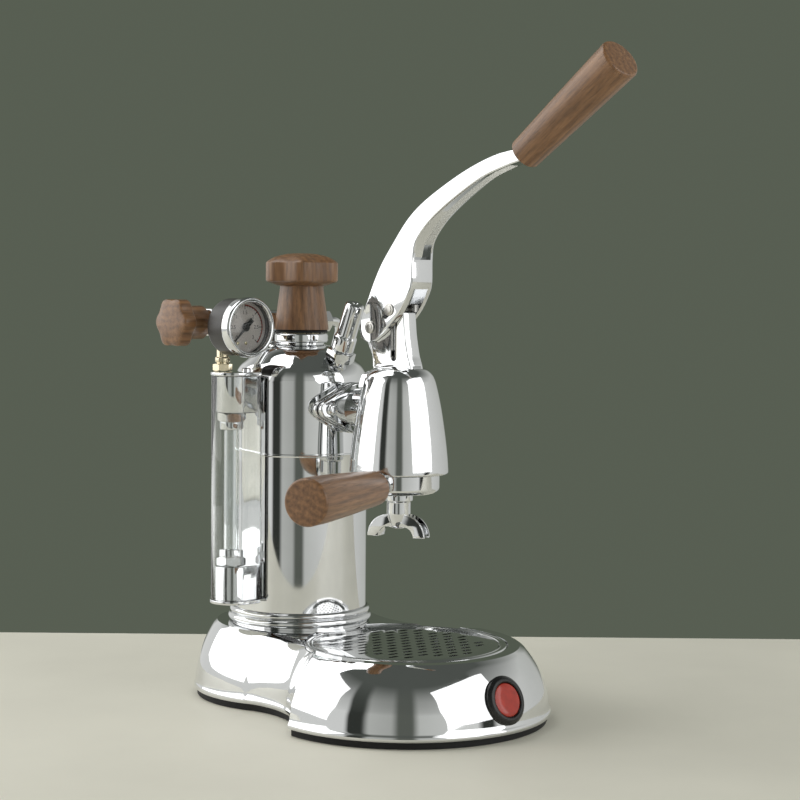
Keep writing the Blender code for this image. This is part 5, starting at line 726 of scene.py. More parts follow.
class ESPRESSO_OT_boiler(bpy.types.Operator):
    """Build the boiler, its stepped foot flange and the collar round its neck"""

    bl_idname = "espresso.boiler"
    bl_label = "Boiler"

    def execute(self, context):
        side = context.scene.machine_sizes.boiler_radius / MM
        shares = ((0.0, 0.0), (0.17, 0.05), (0.45, 0.18), (0.72, 0.44), (0.86, 0.60), (0.953, 0.80),
                  (1.0, 1.0))
        neck, top, bottom, shoulder_top, fall_to_side = 16.5, 262.3, 57.0, 254.5, 25.5
        shoulder = [(neck + (side - neck) * out, shoulder_top - fall_to_side * fall)
                    for out, fall in shares]
        skin = [(neck, top)] + soft_line(shoulder, 5)
        skin += eased([(side, 228.0), (side, 178.0, 0.3), (side + 0.35, 177.5, 0.2),
                       (side + 0.35, 176.5, 0.2), (side, 176.0, 0.3), (side, bottom)])
        inside = [(30.0, bottom), (30.0, bottom + 2.0), (side - 2.0, bottom + 2.0), (side - 2.0, 226.0),
                  (side - 12.0, 245.0), (neck - 2.5, 252.5), (neck - 2.5, top)]
        shell = turned(skin + inside, closed=True)
        boss = lathed([(0.0, 52.0), (15.0, 52.0, 0.8), (15.0, 45.5), (0.0, 45.5)], 64)
        boss.transform(shifted(z=PORT_HEIGHT) @ tilted("X", 90.0))
        piece("boiler_body", gathered(shell, boss), "pressed", BOILER, stands_for=("boiler_shell",),
              crease=20.0)
        # Two rounded bands, the lower one wider, with a groove between
        foot = [(48.8, 65.0)] + arc_line((48.6, 62.5), 2.5, 75.0, -68.0, 12)
        foot += arc_line((49.3, 57.4), 3.0, 60.0, -58.0, 12)
        foot += [(49.8, 54.6), (49.8, 48.0), (44.0, 48.0), (44.0, 56.7), (48.8, 56.7)]
        piece("boiler_foot_flange", turned(foot, closed=True), "bar", BOILER,
              stands_for=("boiler_flange",))
        collar = lathed([(16.8, top, 0.2), (18.6, top, 0.6), (19.3, 261.2, 0.6), (19.3, 256.6, 0.8),
                         (18.4, 255.7, 0.4), (16.8, 255.7)], closed=True)
        piece("neck_ring", collar, "bar", BOILER, stands_for=("neck_collar",))
        recoat("steel", "heating_element", "thermostat", "pressure_switch")
        return {"FINISHED"}


class ESPRESSO_OT_cap(bpy.types.Operator):
    """Build the filler cap: a fluted wooden knob on its metal insert"""

    bl_idname = "espresso.cap"
    bl_label = "Filler cap"

    def execute(self, context):
        # A stem that narrows upward, then the wheel: radius, height and share of the hollows' depth
        foot, waist, low, tall = 19.7, 15.6, 265.3, 30.6
        line = [(0.0, low - 0.35), (foot - 0.2, low - 0.35)]
        line += [(foot + (waist - foot) * step / 8.0, low + tall * step / 8.0) for step in range(9)]
        line += [(15.9, 296.4, 0.0), (19.0, 297.1, 0.1), (23.0, 298.1, 0.5), (26.4, 299.0, 0.9),
                 (27.9, 299.6, 1.0), (28.5, 300.3, 1.0), (28.6, 301.2, 1.0), (28.6, 306.5, 1.0),
                 (28.6, 312.4, 1.0), (28.4, 313.2, 1.0), (27.9, 313.7, 1.0), (25.5, 315.4, 1.0),
                 (22.0, 317.0, 0.8), (17.0, 318.4, 0.3), (11.0, 319.5, 0.0), (5.0, 319.9, 0.0),
                 (0.0, 319.95, 0.0)]
        knob = turned(line, 192, lobes=(6, 4.3))
        knob.transform(tilted("Z", -10.0))
        piece("cap_walnut_knob", knob, "cap walnut", BOILER, body="cap", stands_for=("cap_knob",),
              crease=26.0)
        ring = lathed([(14.5, 264.8, 0.1), (18.6, 264.8, 0.4), (18.9, 263.7, 0.5), (18.6, 262.7, 0.3),
                       (14.5, 262.7)], closed=True)
        piece("cap_gasket_ring", ring, "rubber", BOILER, body="cap_seal",
              stands_for=("cap_gasket",))
        recoat("brass", "cap_insert")
        return {"FINISHED"}


PIPE = shifted(0.0, PIPE_BACK, PIPE_HEIGHT)
# Lays a shape turned about Z along the pipe, with its top to the right
ALONG_PIPE = PIPE @ tilted("Y", 90.0)


class ESPRESSO_OT_steam_valve(bpy.types.Operator):
    """Build the steam valve, its gland nut, spindle and wooden knob"""

    bl_idname = "espresso.steam_valve"
    bl_label = "Steam valve"

    def execute(self, context):
        outside = [(3.9, -52.0, 0.2), (6.6, -52.0, 0.5), (7.0, -51.0, 0.5), (7.0, -13.5, 0.5),
                   (8.8, -11.8, 0.9), (8.8, 11.8, 0.9), (7.0, 13.5, 0.5), (7.0, 39.2, 0.5),
                   (6.4, 40.0, 0.3), (0.0, 40.0)]
        barrel = turned(eased(outside) + [(0.0, -20.0), (3.9, -20.0)], 64, closed=True)
        foot = lathed([(6.0, -1.0), (6.0, -14.6, 0.6), (8.5, -15.4, 0.5), (8.5, -16.7, 0.3), (6.0, -16.7),
                       (6.0, -23.0), (0.0, -23.0)], 64)
        body = gathered((barrel, ALONG_PIPE), (foot, PIPE))
        piece("steam_valve_barrel", body, "bar", BOILER, stands_for=("steam_valve_body",))
        nut = hex_nut(9.5, -64.3, -56.0, 4.0)
        washer = lathed([(4.0, -56.2), (8.2, -56.2, 0.3), (8.2, -52.4, 0.5), (4.0, -52.4)], 48,
                        closed=True)
        piece("steam_gland_hexagon", gathered((nut, ALONG_PIPE), (washer, ALONG_PIPE)), "bar", BOILER,
              stands_for=("steam_gland_nut",))
        stem = lathed([(0.0, -84.4), (3.2, -84.4, 0.3), (3.5, -83.9, 0.3), (3.5, -20.3, 0.3),
                       (0.0, -20.0)], 40)
        piece("steam_spindle_brass", gathered((stem, ALONG_PIPE)), "brass", BOILER, body="steam_control",
              stands_for=("steam_spindle",))
        # The knob's stem and wheel, outward from the gland: radius, place and share of the hollows' depth
        line = [(4.1, 69.05, 0.0), (11.6, 69.05, 0.0), (11.9, 69.4, 0.0), (11.8, 76.0, 0.0),
                (11.7, 82.2, 0.0), (12.2, 83.0, 0.0), (14.4, 84.0, 0.3), (16.7, 85.1, 0.85),
                (17.6, 85.8, 1.0), (17.9, 86.8, 1.0), (17.9, 91.0, 1.0), (17.9, 94.2, 1.0),
                (17.6, 94.9, 1.0), (16.8, 95.4, 1.0), (14.0, 96.1, 0.5), (10.0, 96.6, 0.1),
                (5.0, 96.92, 0.0), (0.0, 97.0, 0.0), (0.0, 84.8, 0.0), (4.1, 84.8, 0.0)]
        knob = turned(line, 160, closed=True, lobes=(6, 2.2))
        knob.transform(tilted("Z", 30.0))
        knob.transform(PIPE @ tilted("Y", -90.0))
        piece("steam_walnut_knob", knob, "knob walnut", BOILER, body="steam_control",
              stands_for=("steam_knob",), crease=50.0)
        return {"FINISHED"}


class ESPRESSO_OT_wand(bpy.types.Operator):
    """Build the steam wand and its nut"""

    bl_idname = "espresso.wand"
    bl_label = "Steam wand"

    def execute(self, context):
        piece("wand_hexagon", gathered((hex_nut(7.5, 40.35, 50.25, 4.0), ALONG_PIPE)), "bar", BOILER,
              stands_for=("wand_nut",))
        reach, bend, drop = 66.3, 11.0, 114.0
        line = [(40.7, 0.0, 0.0), (46.0, 0.0, 0.0), (52.0, 0.0, 0.0)]
        line += [(x, 0.0, z) for x, z in arc_line((reach - bend, -bend), bend, 90.0, 0.0, 16)]
        line += [(reach, 0.0, -bend - drop * i / 12.0) for i in range(1, 13)]
        tube = swept(line, 3.5)
        tip = lathed([(0.0, -123.8), (3.8, -123.8, 0.3), (5.0, -125.0, 0.6), (5.0, -134.6, 1.0),
                      (3.5, -141.0, 0.8), (1.4, -141.0, 0.2), (1.4, -133.0), (0.0, -133.0)], 48)
        wand = gathered(tube, (tip, shifted(reach)))
        wand.transform(PIPE @ tilted("X", 22.0))
        piece("steam_wand_tube", wand, "bar", BOILER, body="wand", stands_for=("steam_wand",))
        return {"FINISHED"}


class ESPRESSO_OT_safety_valve(bpy.types.Operator):
    """Build the relief valve that leans forward on the shoulder"""

    bl_idname = "espresso.safety_valve"
    bl_label = "Safety valve"

    def execute(self, context):
        lean = shifted(0.0, -41.5, 244.0) @ tilted("X", 22.7)
        nut = hex_nut(9.2, 0.3, 7.8)
        washer = lathed([(0.0, 8.0), (8.4, 8.0, 0.3), (8.6, 7.4, 0.3), (8.6, 6.8), (0.0, 6.8)], 64)
        stem = rod(4.8, -9.0, 15.0, 40)
        piece("safety_valve_hexagon", gathered((nut, lean), (washer, lean), (stem, lean)), "bar", BOILER,
              stands_for=("safety_valve_nut",))
        cap = lathed([(0.0, 44.0), (1.2, 44.0, 0.3), (1.5, 43.4, 0.2), (2.2, 44.0, 0.2), (5.6, 44.0, 1.0),
                      (6.8, 42.7, 0.9), (7.1, 36.0, 3.0), (7.2, 19.6, 0.6), (8.2, 18.4, 0.9),
                      (8.2, 9.2, 0.6), (7.8, 8.1, 0.4), (5.1, 8.1), (5.1, 15.6), (0.0, 15.6)], 72)
        piece("safety_valve_dome", gathered((cap, lean)), "bar", BOILER, stands_for=("safety_valve_cap",))
        return {"FINISHED"}


def rounded_block(radius, back, low, high, edge):
    """A block with a half-round front toward the operator's left."""
    outline = arc_line((SHIELD_SIDE, 0.0), radius, 90.0, 270.0, 33) + [(back, -radius), (back, radius)]
    return plate(outline, low, high, edge=edge)


class ESPRESSO_OT_sight_glass(bpy.types.Operator):
    """Build the sight glass: two fittings, nuts, the glass and its clear shield"""

    bl_idname = "espresso.sight_glass"
    bl_label = "Sight glass"

    def execute(self, context):
        # Each fitting is a half-round block with a lip at its outer end and a bar into the boiler
        for word, low, high, arm, way in (("lower", 74.8, 99.6, 87.2, 1.0),
                                          ("upper", 206.4, 233.2, 219.8, -1.0)):
            parts = [rounded_block(12.5, -51.5, low, high, 1.0)]
            outer, inner = (low, high) if way > 0 else (high, low)
            ends = sorted((outer, outer - way * 2.6))
            parts.append(rounded_block(16.1, -50.0, *ends, 0.6))
            bar = lathed([(4.0, 46.5), (4.0, 50.0, 0.3), (7.5, 50.2, 0.3), (7.5, 52.0, 0.3), (4.0, 52.0)],
                         48)
            parts.append((bar, shifted(z=arm) @ tilted("Y", -90.0)))
            if way < 0:
                screw = lathed([(0.0, 238.6), (2.6, 238.6, 0.4), (3.2, 238.0, 0.4), (3.2, 235.0),
                                (0.0, 235.0)], 48)
                screw = carved(screw, [box(7.2, 0.8, 237.9, 239.5)])
                parts.append((screw, shifted(-55.5, -5.5)))
            piece(f"sight_{word}_block", gathered(*parts), "bar", BOILER,
                  stands_for=(f"sight_{word}_fitting",))
            face = inner + way * 0.3
            ends = sorted((face, face + way * 6.2))
            nut = hex_nut(8.8, *ends, bore=5.8)
            lip = sorted((face + way * 6.0, face + way * 11.7))
            collar = lathed([(5.8, lip[0], 0.3), (8.5, lip[0], 0.7), (8.5, lip[1], 0.9),
                             (5.8, lip[1], 0.2)], 64, closed=True)
            nut = gathered((nut, shifted(SIGHT_SIDE)), (collar, shifted(SIGHT_SIDE)))
            piece(f"sight_{word}_hexagon", nut, "bar", BOILER, stands_for=(f"sight_{word}_nut",))
        outer, inner, low, high = 5.5, 4.3, 93.4, 212.6
        tube = turned([(outer, low), (outer, high), (inner, high), (inner, low)], 64, closed=True)
        tube.transform(shifted(SIGHT_SIDE))
        piece("sight_glass_tube", tube, "glass", BOILER, stands_for=("sight_glass",), crease=40.0)
        edge, outer, inner = -50.0, 15.5, 14.0
        bow = [(edge, outer)] + arc_line((SHIELD_SIDE, 0.0), outer, 90.0, 270.0, 49) + [(edge, -outer)]
        bow += [(edge, -inner)] + arc_line((SHIELD_SIDE, 0.0), inner, 270.0, 90.0, 49) + [(edge, inner)]
        piece("sight_shield_acrylic", plate(bow, 75.1, 232.9, edge=0.25, segments=2), "acrylic",
              BOILER, stands_for=("glass_shield",))
        return {"FINISHED"}


def dial_marks():
    """Ticks and numbers of the dial: shapes in the dial's plane, in millimetres."""
    marks = bmesh.new()
    zero, sweep, ticks, number_radius = 225.0, 270.0, 30, 9.9
    for step in range(ticks + 1):
        angle = math.radians(zero - sweep * step / ticks)
        long = step % 5 == 0
        start, end, half = (12.2 if long else 13.6), 15.4, (0.28 if long else 0.12)
        along = Vector((math.cos(angle), math.sin(angle)))
        side = Vector((-along.y, along.x)) * half
        corners = [along * start + side, along * start - side, along * end - side, along * end + side]
        marks = gathered(marks, plate([tuple(c) for c in corners], 0.0, 0.05))
    for index, words in enumerate(("0", "0.5", "1", "1.5", "2", "2.5", "3")):
        angle = math.radians(zero - sweep * index / 6.0)
        spot = shifted(number_radius * math.cos(angle), number_radius * math.sin(angle), 0.03)
        letters = bpy.data.curves.new("figures", "FONT")
        letters.body = words
        letters.size = 3.6
        letters.extrude = 0.025
        letters.align_x = "CENTER"
        letters.align_y = "CENTER"
        writing = bpy.data.objects.new("figures", letters)
        bpy.context.scene.collection.objects.link(writing)
        bpy.context.view_layer.update()
        ready = writing.evaluated_get(bpy.context.evaluated_depsgraph_get())
        flat = bpy.data.meshes.new_from_object(ready)
        shape = bmesh.new()
        shape.from_mesh(flat)
        bpy.data.meshes.remove(flat)
        bpy.data.objects.remove(writing)
        marks = gathered(marks, (shape, spot))
    return marks


class ESPRESSO_OT_gauge(bpy.types.Operator):
    """Build the pressure gauge, its dial, needle and brass elbow"""

    bl_idname = "espresso.gauge"
    bl_label = "Pressure gauge"

    def execute(self, context):
        across = context.scene.machine_sizes.gauge_radius / MM
        here = BOILER + Vector((GAUGE_SIDE, 0.0, GAUGE_HEIGHT)) * MM
        turn = tilted("X", 90.0)
        case = lathed([(0.0, -2.8), (17.0, -2.8), (18.5, -0.4, 1.0), (18.5, 14.9), (20.2, 14.9),
                       (20.4, 13.8, 0.4), (19.9, -1.2, 1.8), (17.3, -4.0, 1.6), (0.0, -4.0)])
        piece("gauge_enamel_case", case, "case", here, turn, stands_for=("gauge_case",))
        bezel = lathed([(17.4, 22.0, 0.3), (18.0, 23.2, 0.5), (19.9, 23.5, 0.8), (across, 22.0, 1.2),
                        (across, 16.0, 0.8), (20.6, 15.0, 0.4), (19.95, 15.0), (19.95, 21.0),
                        (17.4, 21.0)], closed=True)
        piece("gauge_chrome_bezel", bezel, "bar", here, turn, stands_for=("gauge_bezel",))
        # A ring of the case's dark enamel inside the bezel, between the dial and the lens: painted shade,
        # standing in for the shade and dark reflection on the bezel's inner wall
        inner = lathed([(18.4, 15.1), (17.5, 19.0, 0.4), (17.4, 20.8), (18.4, 20.8)], closed=True)
        piece("gauge_inner_wall_painted_shade", inner, "case", here, turn)
        lens = lathed([(0.0, 20.9), (17.0, 20.9), (18.4, 20.6), (18.4, 19.2), (0.0, 19.2)])
        piece("gauge_glass_lens", lens, "glass", here, turn, stands_for=("gauge_lens",))
        dial = lathed([(0.0, 15.0), (16.2, 15.0, 0.1), (16.5, 15.2, 0.1), (17.55, 15.2, 0.1), (17.6, 14.0),
                       (0.0, 14.0)])
        piece("gauge_silver_dial", dial, "dial", here, turn, stands_for=("gauge_dial",))
        marks = dial_marks()
        marks.transform(shifted(z=15.02))
        piece("gauge_black_marks", marks, "ink", here, turn)
        band = plate(arc_line((0.0, 0.0), 15.4, 90.0, -45.0, 40)
                     + arc_line((0.0, 0.0), 14.3, -45.0, 90.0, 40), 15.01, 15.05)
        piece("gauge_red_band", band, "red ink", here, turn)
        for number, x in ((1, -6.0), (2, 0.8)):
            screw = lathed([(0.0, 15.7), (0.9, 15.7, 0.2), (1.2, 15.4, 0.2), (1.2, 15.0), (0.0, 15.0)], 32)
            screw = carved(screw, [box(2.8, 0.28, 15.45, 16.0)])
            screw.transform(shifted(x, -10.8) @ tilted("Z", 34.4 * number))
            piece(f"gauge_dial_screw_{number}", screw, "brass", here, turn)
        rest = tilted("Z", 135.0)
        blade = plate([(0.0, 15.0), (-0.30, 13.6), (-0.95, 0.0), (-1.5, -1.0), (-1.75, -7.5), (1.75, -7.5),
                       (1.5, -1.0), (0.95, 0.0), (0.30, 13.6)], 16.3, 16.9, edge=0.08, segments=1)
        hub = lathed([(0.0, 17.6), (2.0, 17.5, 0.3), (2.9, 17.0, 0.3), (2.9, 16.1), (1.1, 16.1),
                      (1.1, 14.2), (0.0, 14.2)], 40)
        piece("gauge_black_needle", gathered((blade, rest), (hub, rest)), "phenolic", here, turn,
              body="needle", stands_for=("gauge_needle",))
        # The elbow's way back from the case and down
        behind, bend, drop = 9.4, 4.0, 27.0
        low = GAUGE_HEIGHT - bend
        line = [(0.0, 4.3, GAUGE_HEIGHT), (0.0, 5.0, GAUGE_HEIGHT)]
        line += [(0.0, y, z) for y, z in arc_line((behind - bend, low), bend, 90.0, 0.0, 12)]
        line += [(0.0, behind, low - drop * i / 8.0) for i in range(1, 9)]
        pipe = swept(line, 4.2)
        nut = hex_nut(6.0, 236.1, 241.3)
        collar = lathed([(0.0, 246.0), (5.0, 246.0, 0.4), (5.3, 245.2, 0.4), (5.3, 242.4, 0.4),
                         (0.0, 241.0)], 48)
        elbow = gathered(pipe, (nut, shifted(y=behind)), (collar, shifted(y=behind)))
        elbow.transform(shifted(GAUGE_SIDE))
        piece("gauge_brass_elbow", elbow, "brass", BOILER, stands_for=("gauge_elbow",))
        return {"FINISHED"}


def rounded_diamond(half, tall, corner):
    """The group flange's outline: a round middle, straight flanks and a small round end on each side."""
    reach = half - corner
    lean = math.degrees(math.acos((tall - corner) / reach))
    points = arc_line((reach, 0.0), corner, -lean, lean, 13)
    points += arc_line((0.0, 0.0), tall, lean, 180.0 - lean, 33)
    points += arc_line((-reach, 0.0), corner, 180.0 - lean, 180.0 + lean, 13)
    return points + arc_line((0.0, 0.0), tall, 180.0 + lean, 360.0 - lean, 33)


class ESPRESSO_OT_group(bpy.types.Operator):
    """Build the group: flange, bell and the tower that carries the lever"""

    bl_idname = "espresso.group"
    bl_label = "Group"

    def execute(self, context):
        widest = context.scene.machine_sizes.bell_radius / MM
        outer = [(0.0, 243.3), (7.0, 243.0), (13.0, 242.2), (18.5, 240.4), (22.3, 237.0), (24.2, 233.5),
                 (25.5, 229.5), (27.4, 221.5), (29.3, 212.0), (31.2, 200.0), (32.7, 189.0), (33.8, 178.5),
                 (widest - 0.1, 172.5)]
        mouth = eased([(widest, 171.0), (widest, 169.4, 0.6), (33.5, 168.4, 0.5), (31.5, 168.4, 0.3),
                       (31.4, 171.0), (29.4, 171.4), (29.4, 175.2)])
        inside = [(29.4, 179.2), (23.4, 179.2), (23.4, 221.3), (0.0, 221.3)]
        bell = turned([(max(r, 0.0), z) for r, z in soft_line(outer, 4) + mouth + inside])
        # The tower's flanks: height, and the places of its front and back edges
        flank = ((230.0, -19.0, 21.5), (241.0, -17.0, 21.5), (245.5, -15.5, 21.5), (250.0, -13.8, 22.5),
                 (258.0, -12.0, 27.0), (265.0, -10.7, 30.0), (272.0, -10.0, 29.0), (279.5, -9.2, 11.0))
        front = soft_line([(y, z) for z, y, _ in flank], 4)
        back = soft_line([(y, z) for z, _, y in reversed(flank)], 4)
        tower = plate(front + back, -6.0, 6.0, "YZ", edge=0.9)
        # Where it grows out of the bell: height, then place and half width at the front and at the back
        flare = ((228.0, -21.5, 1.0, 23.5, 22.5), (236.0, -19.5, 2.2, 22.5, 19.5),
                 (241.0, -17.5, 3.6, 21.0, 8.4), (245.5, -15.0, 4.2, 21.0, 5.7),
                 (253.0, -11.5, 4.5, 21.0, 5.0))
        rings = []
        for z, fore, narrow, aft, wide in soft_line(flare, 5):
            ring = [(-narrow, fore, z), (narrow, fore, z)]
            for step in range(1, 8):
                share = step / 8.0
                out = narrow + (wide - narrow) * math.sin(share * math.pi / 2.0)
                ring.append((out, fore + (aft - fore) * share, z))
            ring += [(-x, y, level) for x, y, level in reversed(ring[2:])]
            rings.append(ring)
        foot = skinned(rings)
        # The slot for the piston pin, the bore for its rod and the hole for the fulcrum pin
        half, top, across = 3.3, 290.0, 12.0
        slot = [(-half, top)] + arc_line((0.0, 249.0), half, 180.0, 360.0, 17) + [(half, top)]
        slot = plate(slot, -across, across, "YZ")
        bore = rod(4.2, 215.0, top, 32)
        pivot = rod(3.1, -across, across, 32)
        pivot.transform(shifted(0.0, FULCRUM[0] + GROUP_FORWARD, FULCRUM[1]) @ tilted("Y", 90.0))
        foot = carved(foot, [slot.copy(), bore.copy()])
        tower = carved(tower, [slot, bore, pivot])
        neck = lathed([(14.0, 47.0, 0.5), (16.0, 45.2, 1.5), (14.0, 43.5), (14.0, 24.0)], 64)
        neck = gathered((neck, shifted(z=PORT_HEIGHT) @ tilted("X", -90.0)))
        piece("group_bell_casting", gathered(bell, tower, foot, neck), "cast", GROUP,
              stands_for=("group_bell",), crease=30.0)
        outline = [(x, z + PORT_HEIGHT) for x, z in rounded_diamond(35.0, 18.0, 6.0)]
        plates = [plate(outline, -56.8, -52.4, "XZ", edge=1.0),
                  plate(outline, -63.0, -58.6, "XZ", edge=1.4)]
        piece("group_flange_plates", gathered(*plates), "cast", BOILER, stands_for=("group_flange",))
        recoat("rubber", "flange_gasket", "group_seal", "piston_seal_upper", "piston_seal_lower")
        recoat("steel", "shower_screen")
        recoat("brass", "cylinder_sleeve", "piston_head")
        for word, x in (("left", -26.0), ("right", 26.0)):
            head = lathed([(0.0, 66.6), (2.4, 66.4, 0.6), (4.0, 65.4, 0.9), (4.2, 64.4, 0.3), (4.2, 63.2),
                           (2.9, 63.1), (2.9, 52.8), (0.0, 52.8)], 48)
            head = gathered((head, shifted(x, 0.0, PORT_HEIGHT) @ tilted("X", 90.0)))
            piece(f"flange_{word}_dome_bolt", head, "bar", BOILER, stands_for=(f"flange_bolt_{word}",))
        return {"FINISHED"}


class ESPRESSO_OT_piston(bpy.types.Operator):
    """Build the piston rod and the two pins that show in the lever's fork"""

    bl_idname = "espresso.piston"
    bl_label = "Piston rod and pins"

    def execute(self, context):
        stem = lathed([(0.0, 285.0), (3.2, 285.0, 0.4), (3.8, 284.2, 0.4), (3.8, 212.3), (0.0, 212.3)], 48)
        piece("piston_rod_steel", stem, "steel", GROUP, body="piston", stands_for=("piston_rod",))
        for name, body, (y, z), side in (("piston_pin", "piston", PISTON_PIN, 10.6),
                                         ("fulcrum_pin", "machine", FULCRUM, 9.4)):
            head = [(2.8, side, 0.1), (4.3, side, 0.2), (4.3, side + 0.7, 0.3), (3.1, side + 0.8, 0.2),
                    (2.7, side + 1.2, 0.4), (0.0, side + 1.4)]
            pin = lathed([(r, -z, *rest) for r, z, *rest in reversed(head)] + head, 48)
            pin.transform(shifted(0.0, y + GROUP_FORWARD, z) @ tilted("Y", 90.0))
            piece(f"{name}_steel", pin, "steel", GROUP, body=body, stands_for=(name,))
        return {"FINISHED"}


# The lever's edges in side view: the back one from the fulcrum up, the front one down to the fulcrum
LEVER_BACK = (
    (-74.0, 268.4), (-76.5, 277.0), (-82.1, 287.7), (-87.4, 298.7), (-95.7, 312.4), (-106.4, 326.5),
    (-119.2, 341.8), (-133.6, 353.4), (-155.7, 365.8), (-177.3, 375.7), (-198.3, 382.7), (-216.5, 385.6),
)
LEVER_FRONT = (
    (-221.3, 378.0), (-210.5, 375.5), (-191.0, 369.5), (-175.7, 362.2), (-155.6, 350.6), (-140.0, 339.5),
    (-128.5, 326.8), (-126.2, 315.0), (-125.8, 300.0), (-124.0, 293.5), (-117.3, 282.3), (-109.9, 274.3),
    (-102.2, 268.2), (-93.0, 262.0), (-83.7, 257.8), (-76.5, 260.5),
)


def spaced(line, count):
    """Points evenly spaced along a line."""
    spots = [Vector(s) for s in line]
    steps = [(b - a).length for a, b in zip(spots, spots[1:])]
    total, found, index, gone = sum(steps), [], 0, 0.0
    for i in range(count):
        want = total * i / (count - 1)
        while index < len(steps) - 1 and gone + steps[index] < want:
            gone += steps[index]
            index += 1
        found.append(spots[index].lerp(spots[index + 1], min(1.0, (want - gone) / steps[index])))
    return found


def drawn_in(shape):
    """Narrow the lever's arm from the fork's width to the handle's."""
    start, far = 45.0, math.hypot(LEVER_FRONT[0][0] - FULCRUM[0], LEVER_FRONT[0][1] - FULCRUM[1])
    for vert in shape.verts:
        away = math.hypot(vert.co.y - FULCRUM[0], vert.co.z - FULCRUM[1])
        share = min(1.0, max(0.0, (away - start) / (far - start)))
        vert.co.x *= 1.0 + (LEVER_END_HALF / LEVER_HALF - 1.0) * share
    return shape


class ESPRESSO_OT_lever(bpy.types.Operator):
    """Build the forked lever and its turned walnut handle"""

    bl_idname = "espresso.lever"
    bl_label = "Lever"

    def execute(self, context):
        backs = spaced(soft_line(LEVER_BACK), 48)
        fronts = spaced(soft_line(list(reversed(LEVER_FRONT))), 48)
        edge = 1.3
        sections = []
        for back, front in zip(backs, fronts):
            deep, way = (front - back).length, (front - back).normalized()
            side, low = LEVER_HALF - edge, deep - edge
            loop = []
            for centre, turn in (((-side, edge), 180.0), ((side, edge), 270.0), ((side, low), 0.0),
                                 ((-side, low), 90.0)):
                loop += arc_line(centre, edge, turn, turn + 90.0, 5)
            sections.append([(x, *(back + way * down)) for x, down in loop])
        arm = drawn_in(skinned(sections))
        # The gap between the fork's cheeks, and the trough along the underside
        fork = arc_line(FULCRUM, 33.5, -30.0, 120.0, 24) + arc_line(FULCRUM, 49.0, 128.0, 250.0, 24)
        gap = plate(fork, -6.4, 6.4, "YZ")
        edges = list(zip(LEVER_FRONT[1:8], LEVER_BACK[-2:-9:-1]))
        roof = [tuple(Vector(f).lerp(Vector(b), 0.15)) for f, b in edges]
        under = [tuple(Vector(f).lerp(Vector(b), -0.40)) for f, b in edges]
        trough = soft_line(under) + soft_line(list(reversed(roof)))
        hollow = drawn_in(plate(trough, -7.9, 7.9, "YZ"))
        cutters = [gap, hollow]
        # A scoop in each cheek round the pins: half its width, and its depth
        wide, deep = 5.0, 1.5
        for side in (-1.0, 1.0):
            scoop = bmesh.new()
            bmesh.ops.create_uvsphere(scoop, u_segments=48, v_segments=24, radius=1.0)
            scoop.transform(shifted(side * (LEVER_HALF + wide - deep), -87.5, 271.5)
                            @ Matrix.Diagonal((wide, 16.0, 20.5, 1.0)))
            cutters.append(scoop)
        # The fulcrum's hole and the slot that the piston pin runs in
        across, half = 14.0, 3.8
        hole = rod(2.85, -across, across, 48)
        hole.transform(shifted(0.0, *FULCRUM) @ tilted("Y", 90.0))
        heading = math.atan2(PISTON_PIN[1] - FULCRUM[1], PISTON_PIN[0] - FULCRUM[0])
        near, far = [(FULCRUM[0] + math.cos(heading) * reach, FULCRUM[1] + math.sin(heading) * reach)
                     for reach in (19.8, 25.3)]
        turn = math.degrees(heading)
        slot = arc_line(near, half, turn + 90.0, turn + 270.0, 17)
        slot += arc_line(far, half, turn - 90.0, turn + 90.0, 17)
        cutters += [hole, plate(slot, -across, across, "YZ")]
        piece("lever_arm_casting", carved(arm, cutters), "cast", BOILER, body="lever",
              stands_for=("lever_arm",), crease=30.0)
        handle = lathed([(0.0, 97.2), (12.9, 97.2, 0.6), (13.9, 96.0, 0.8), (12.5, 48.0, 20.0),
                         (10.8, 1.2, 0.5), (9.6, 0.0, 0.5), (4.2, 0.0), (4.2, 40.2), (0.0, 40.2)], 96)
        turn = tilted("X", HANDLE_LEAN - 90.0)
        piece("lever_walnut_handle", handle, "handle walnut", BOILER + Vector((0.0, *HANDLE_FOOT)) * MM,
              turn, body="lever", stands_for=("lever_handle",))
        return {"FINISHED"}


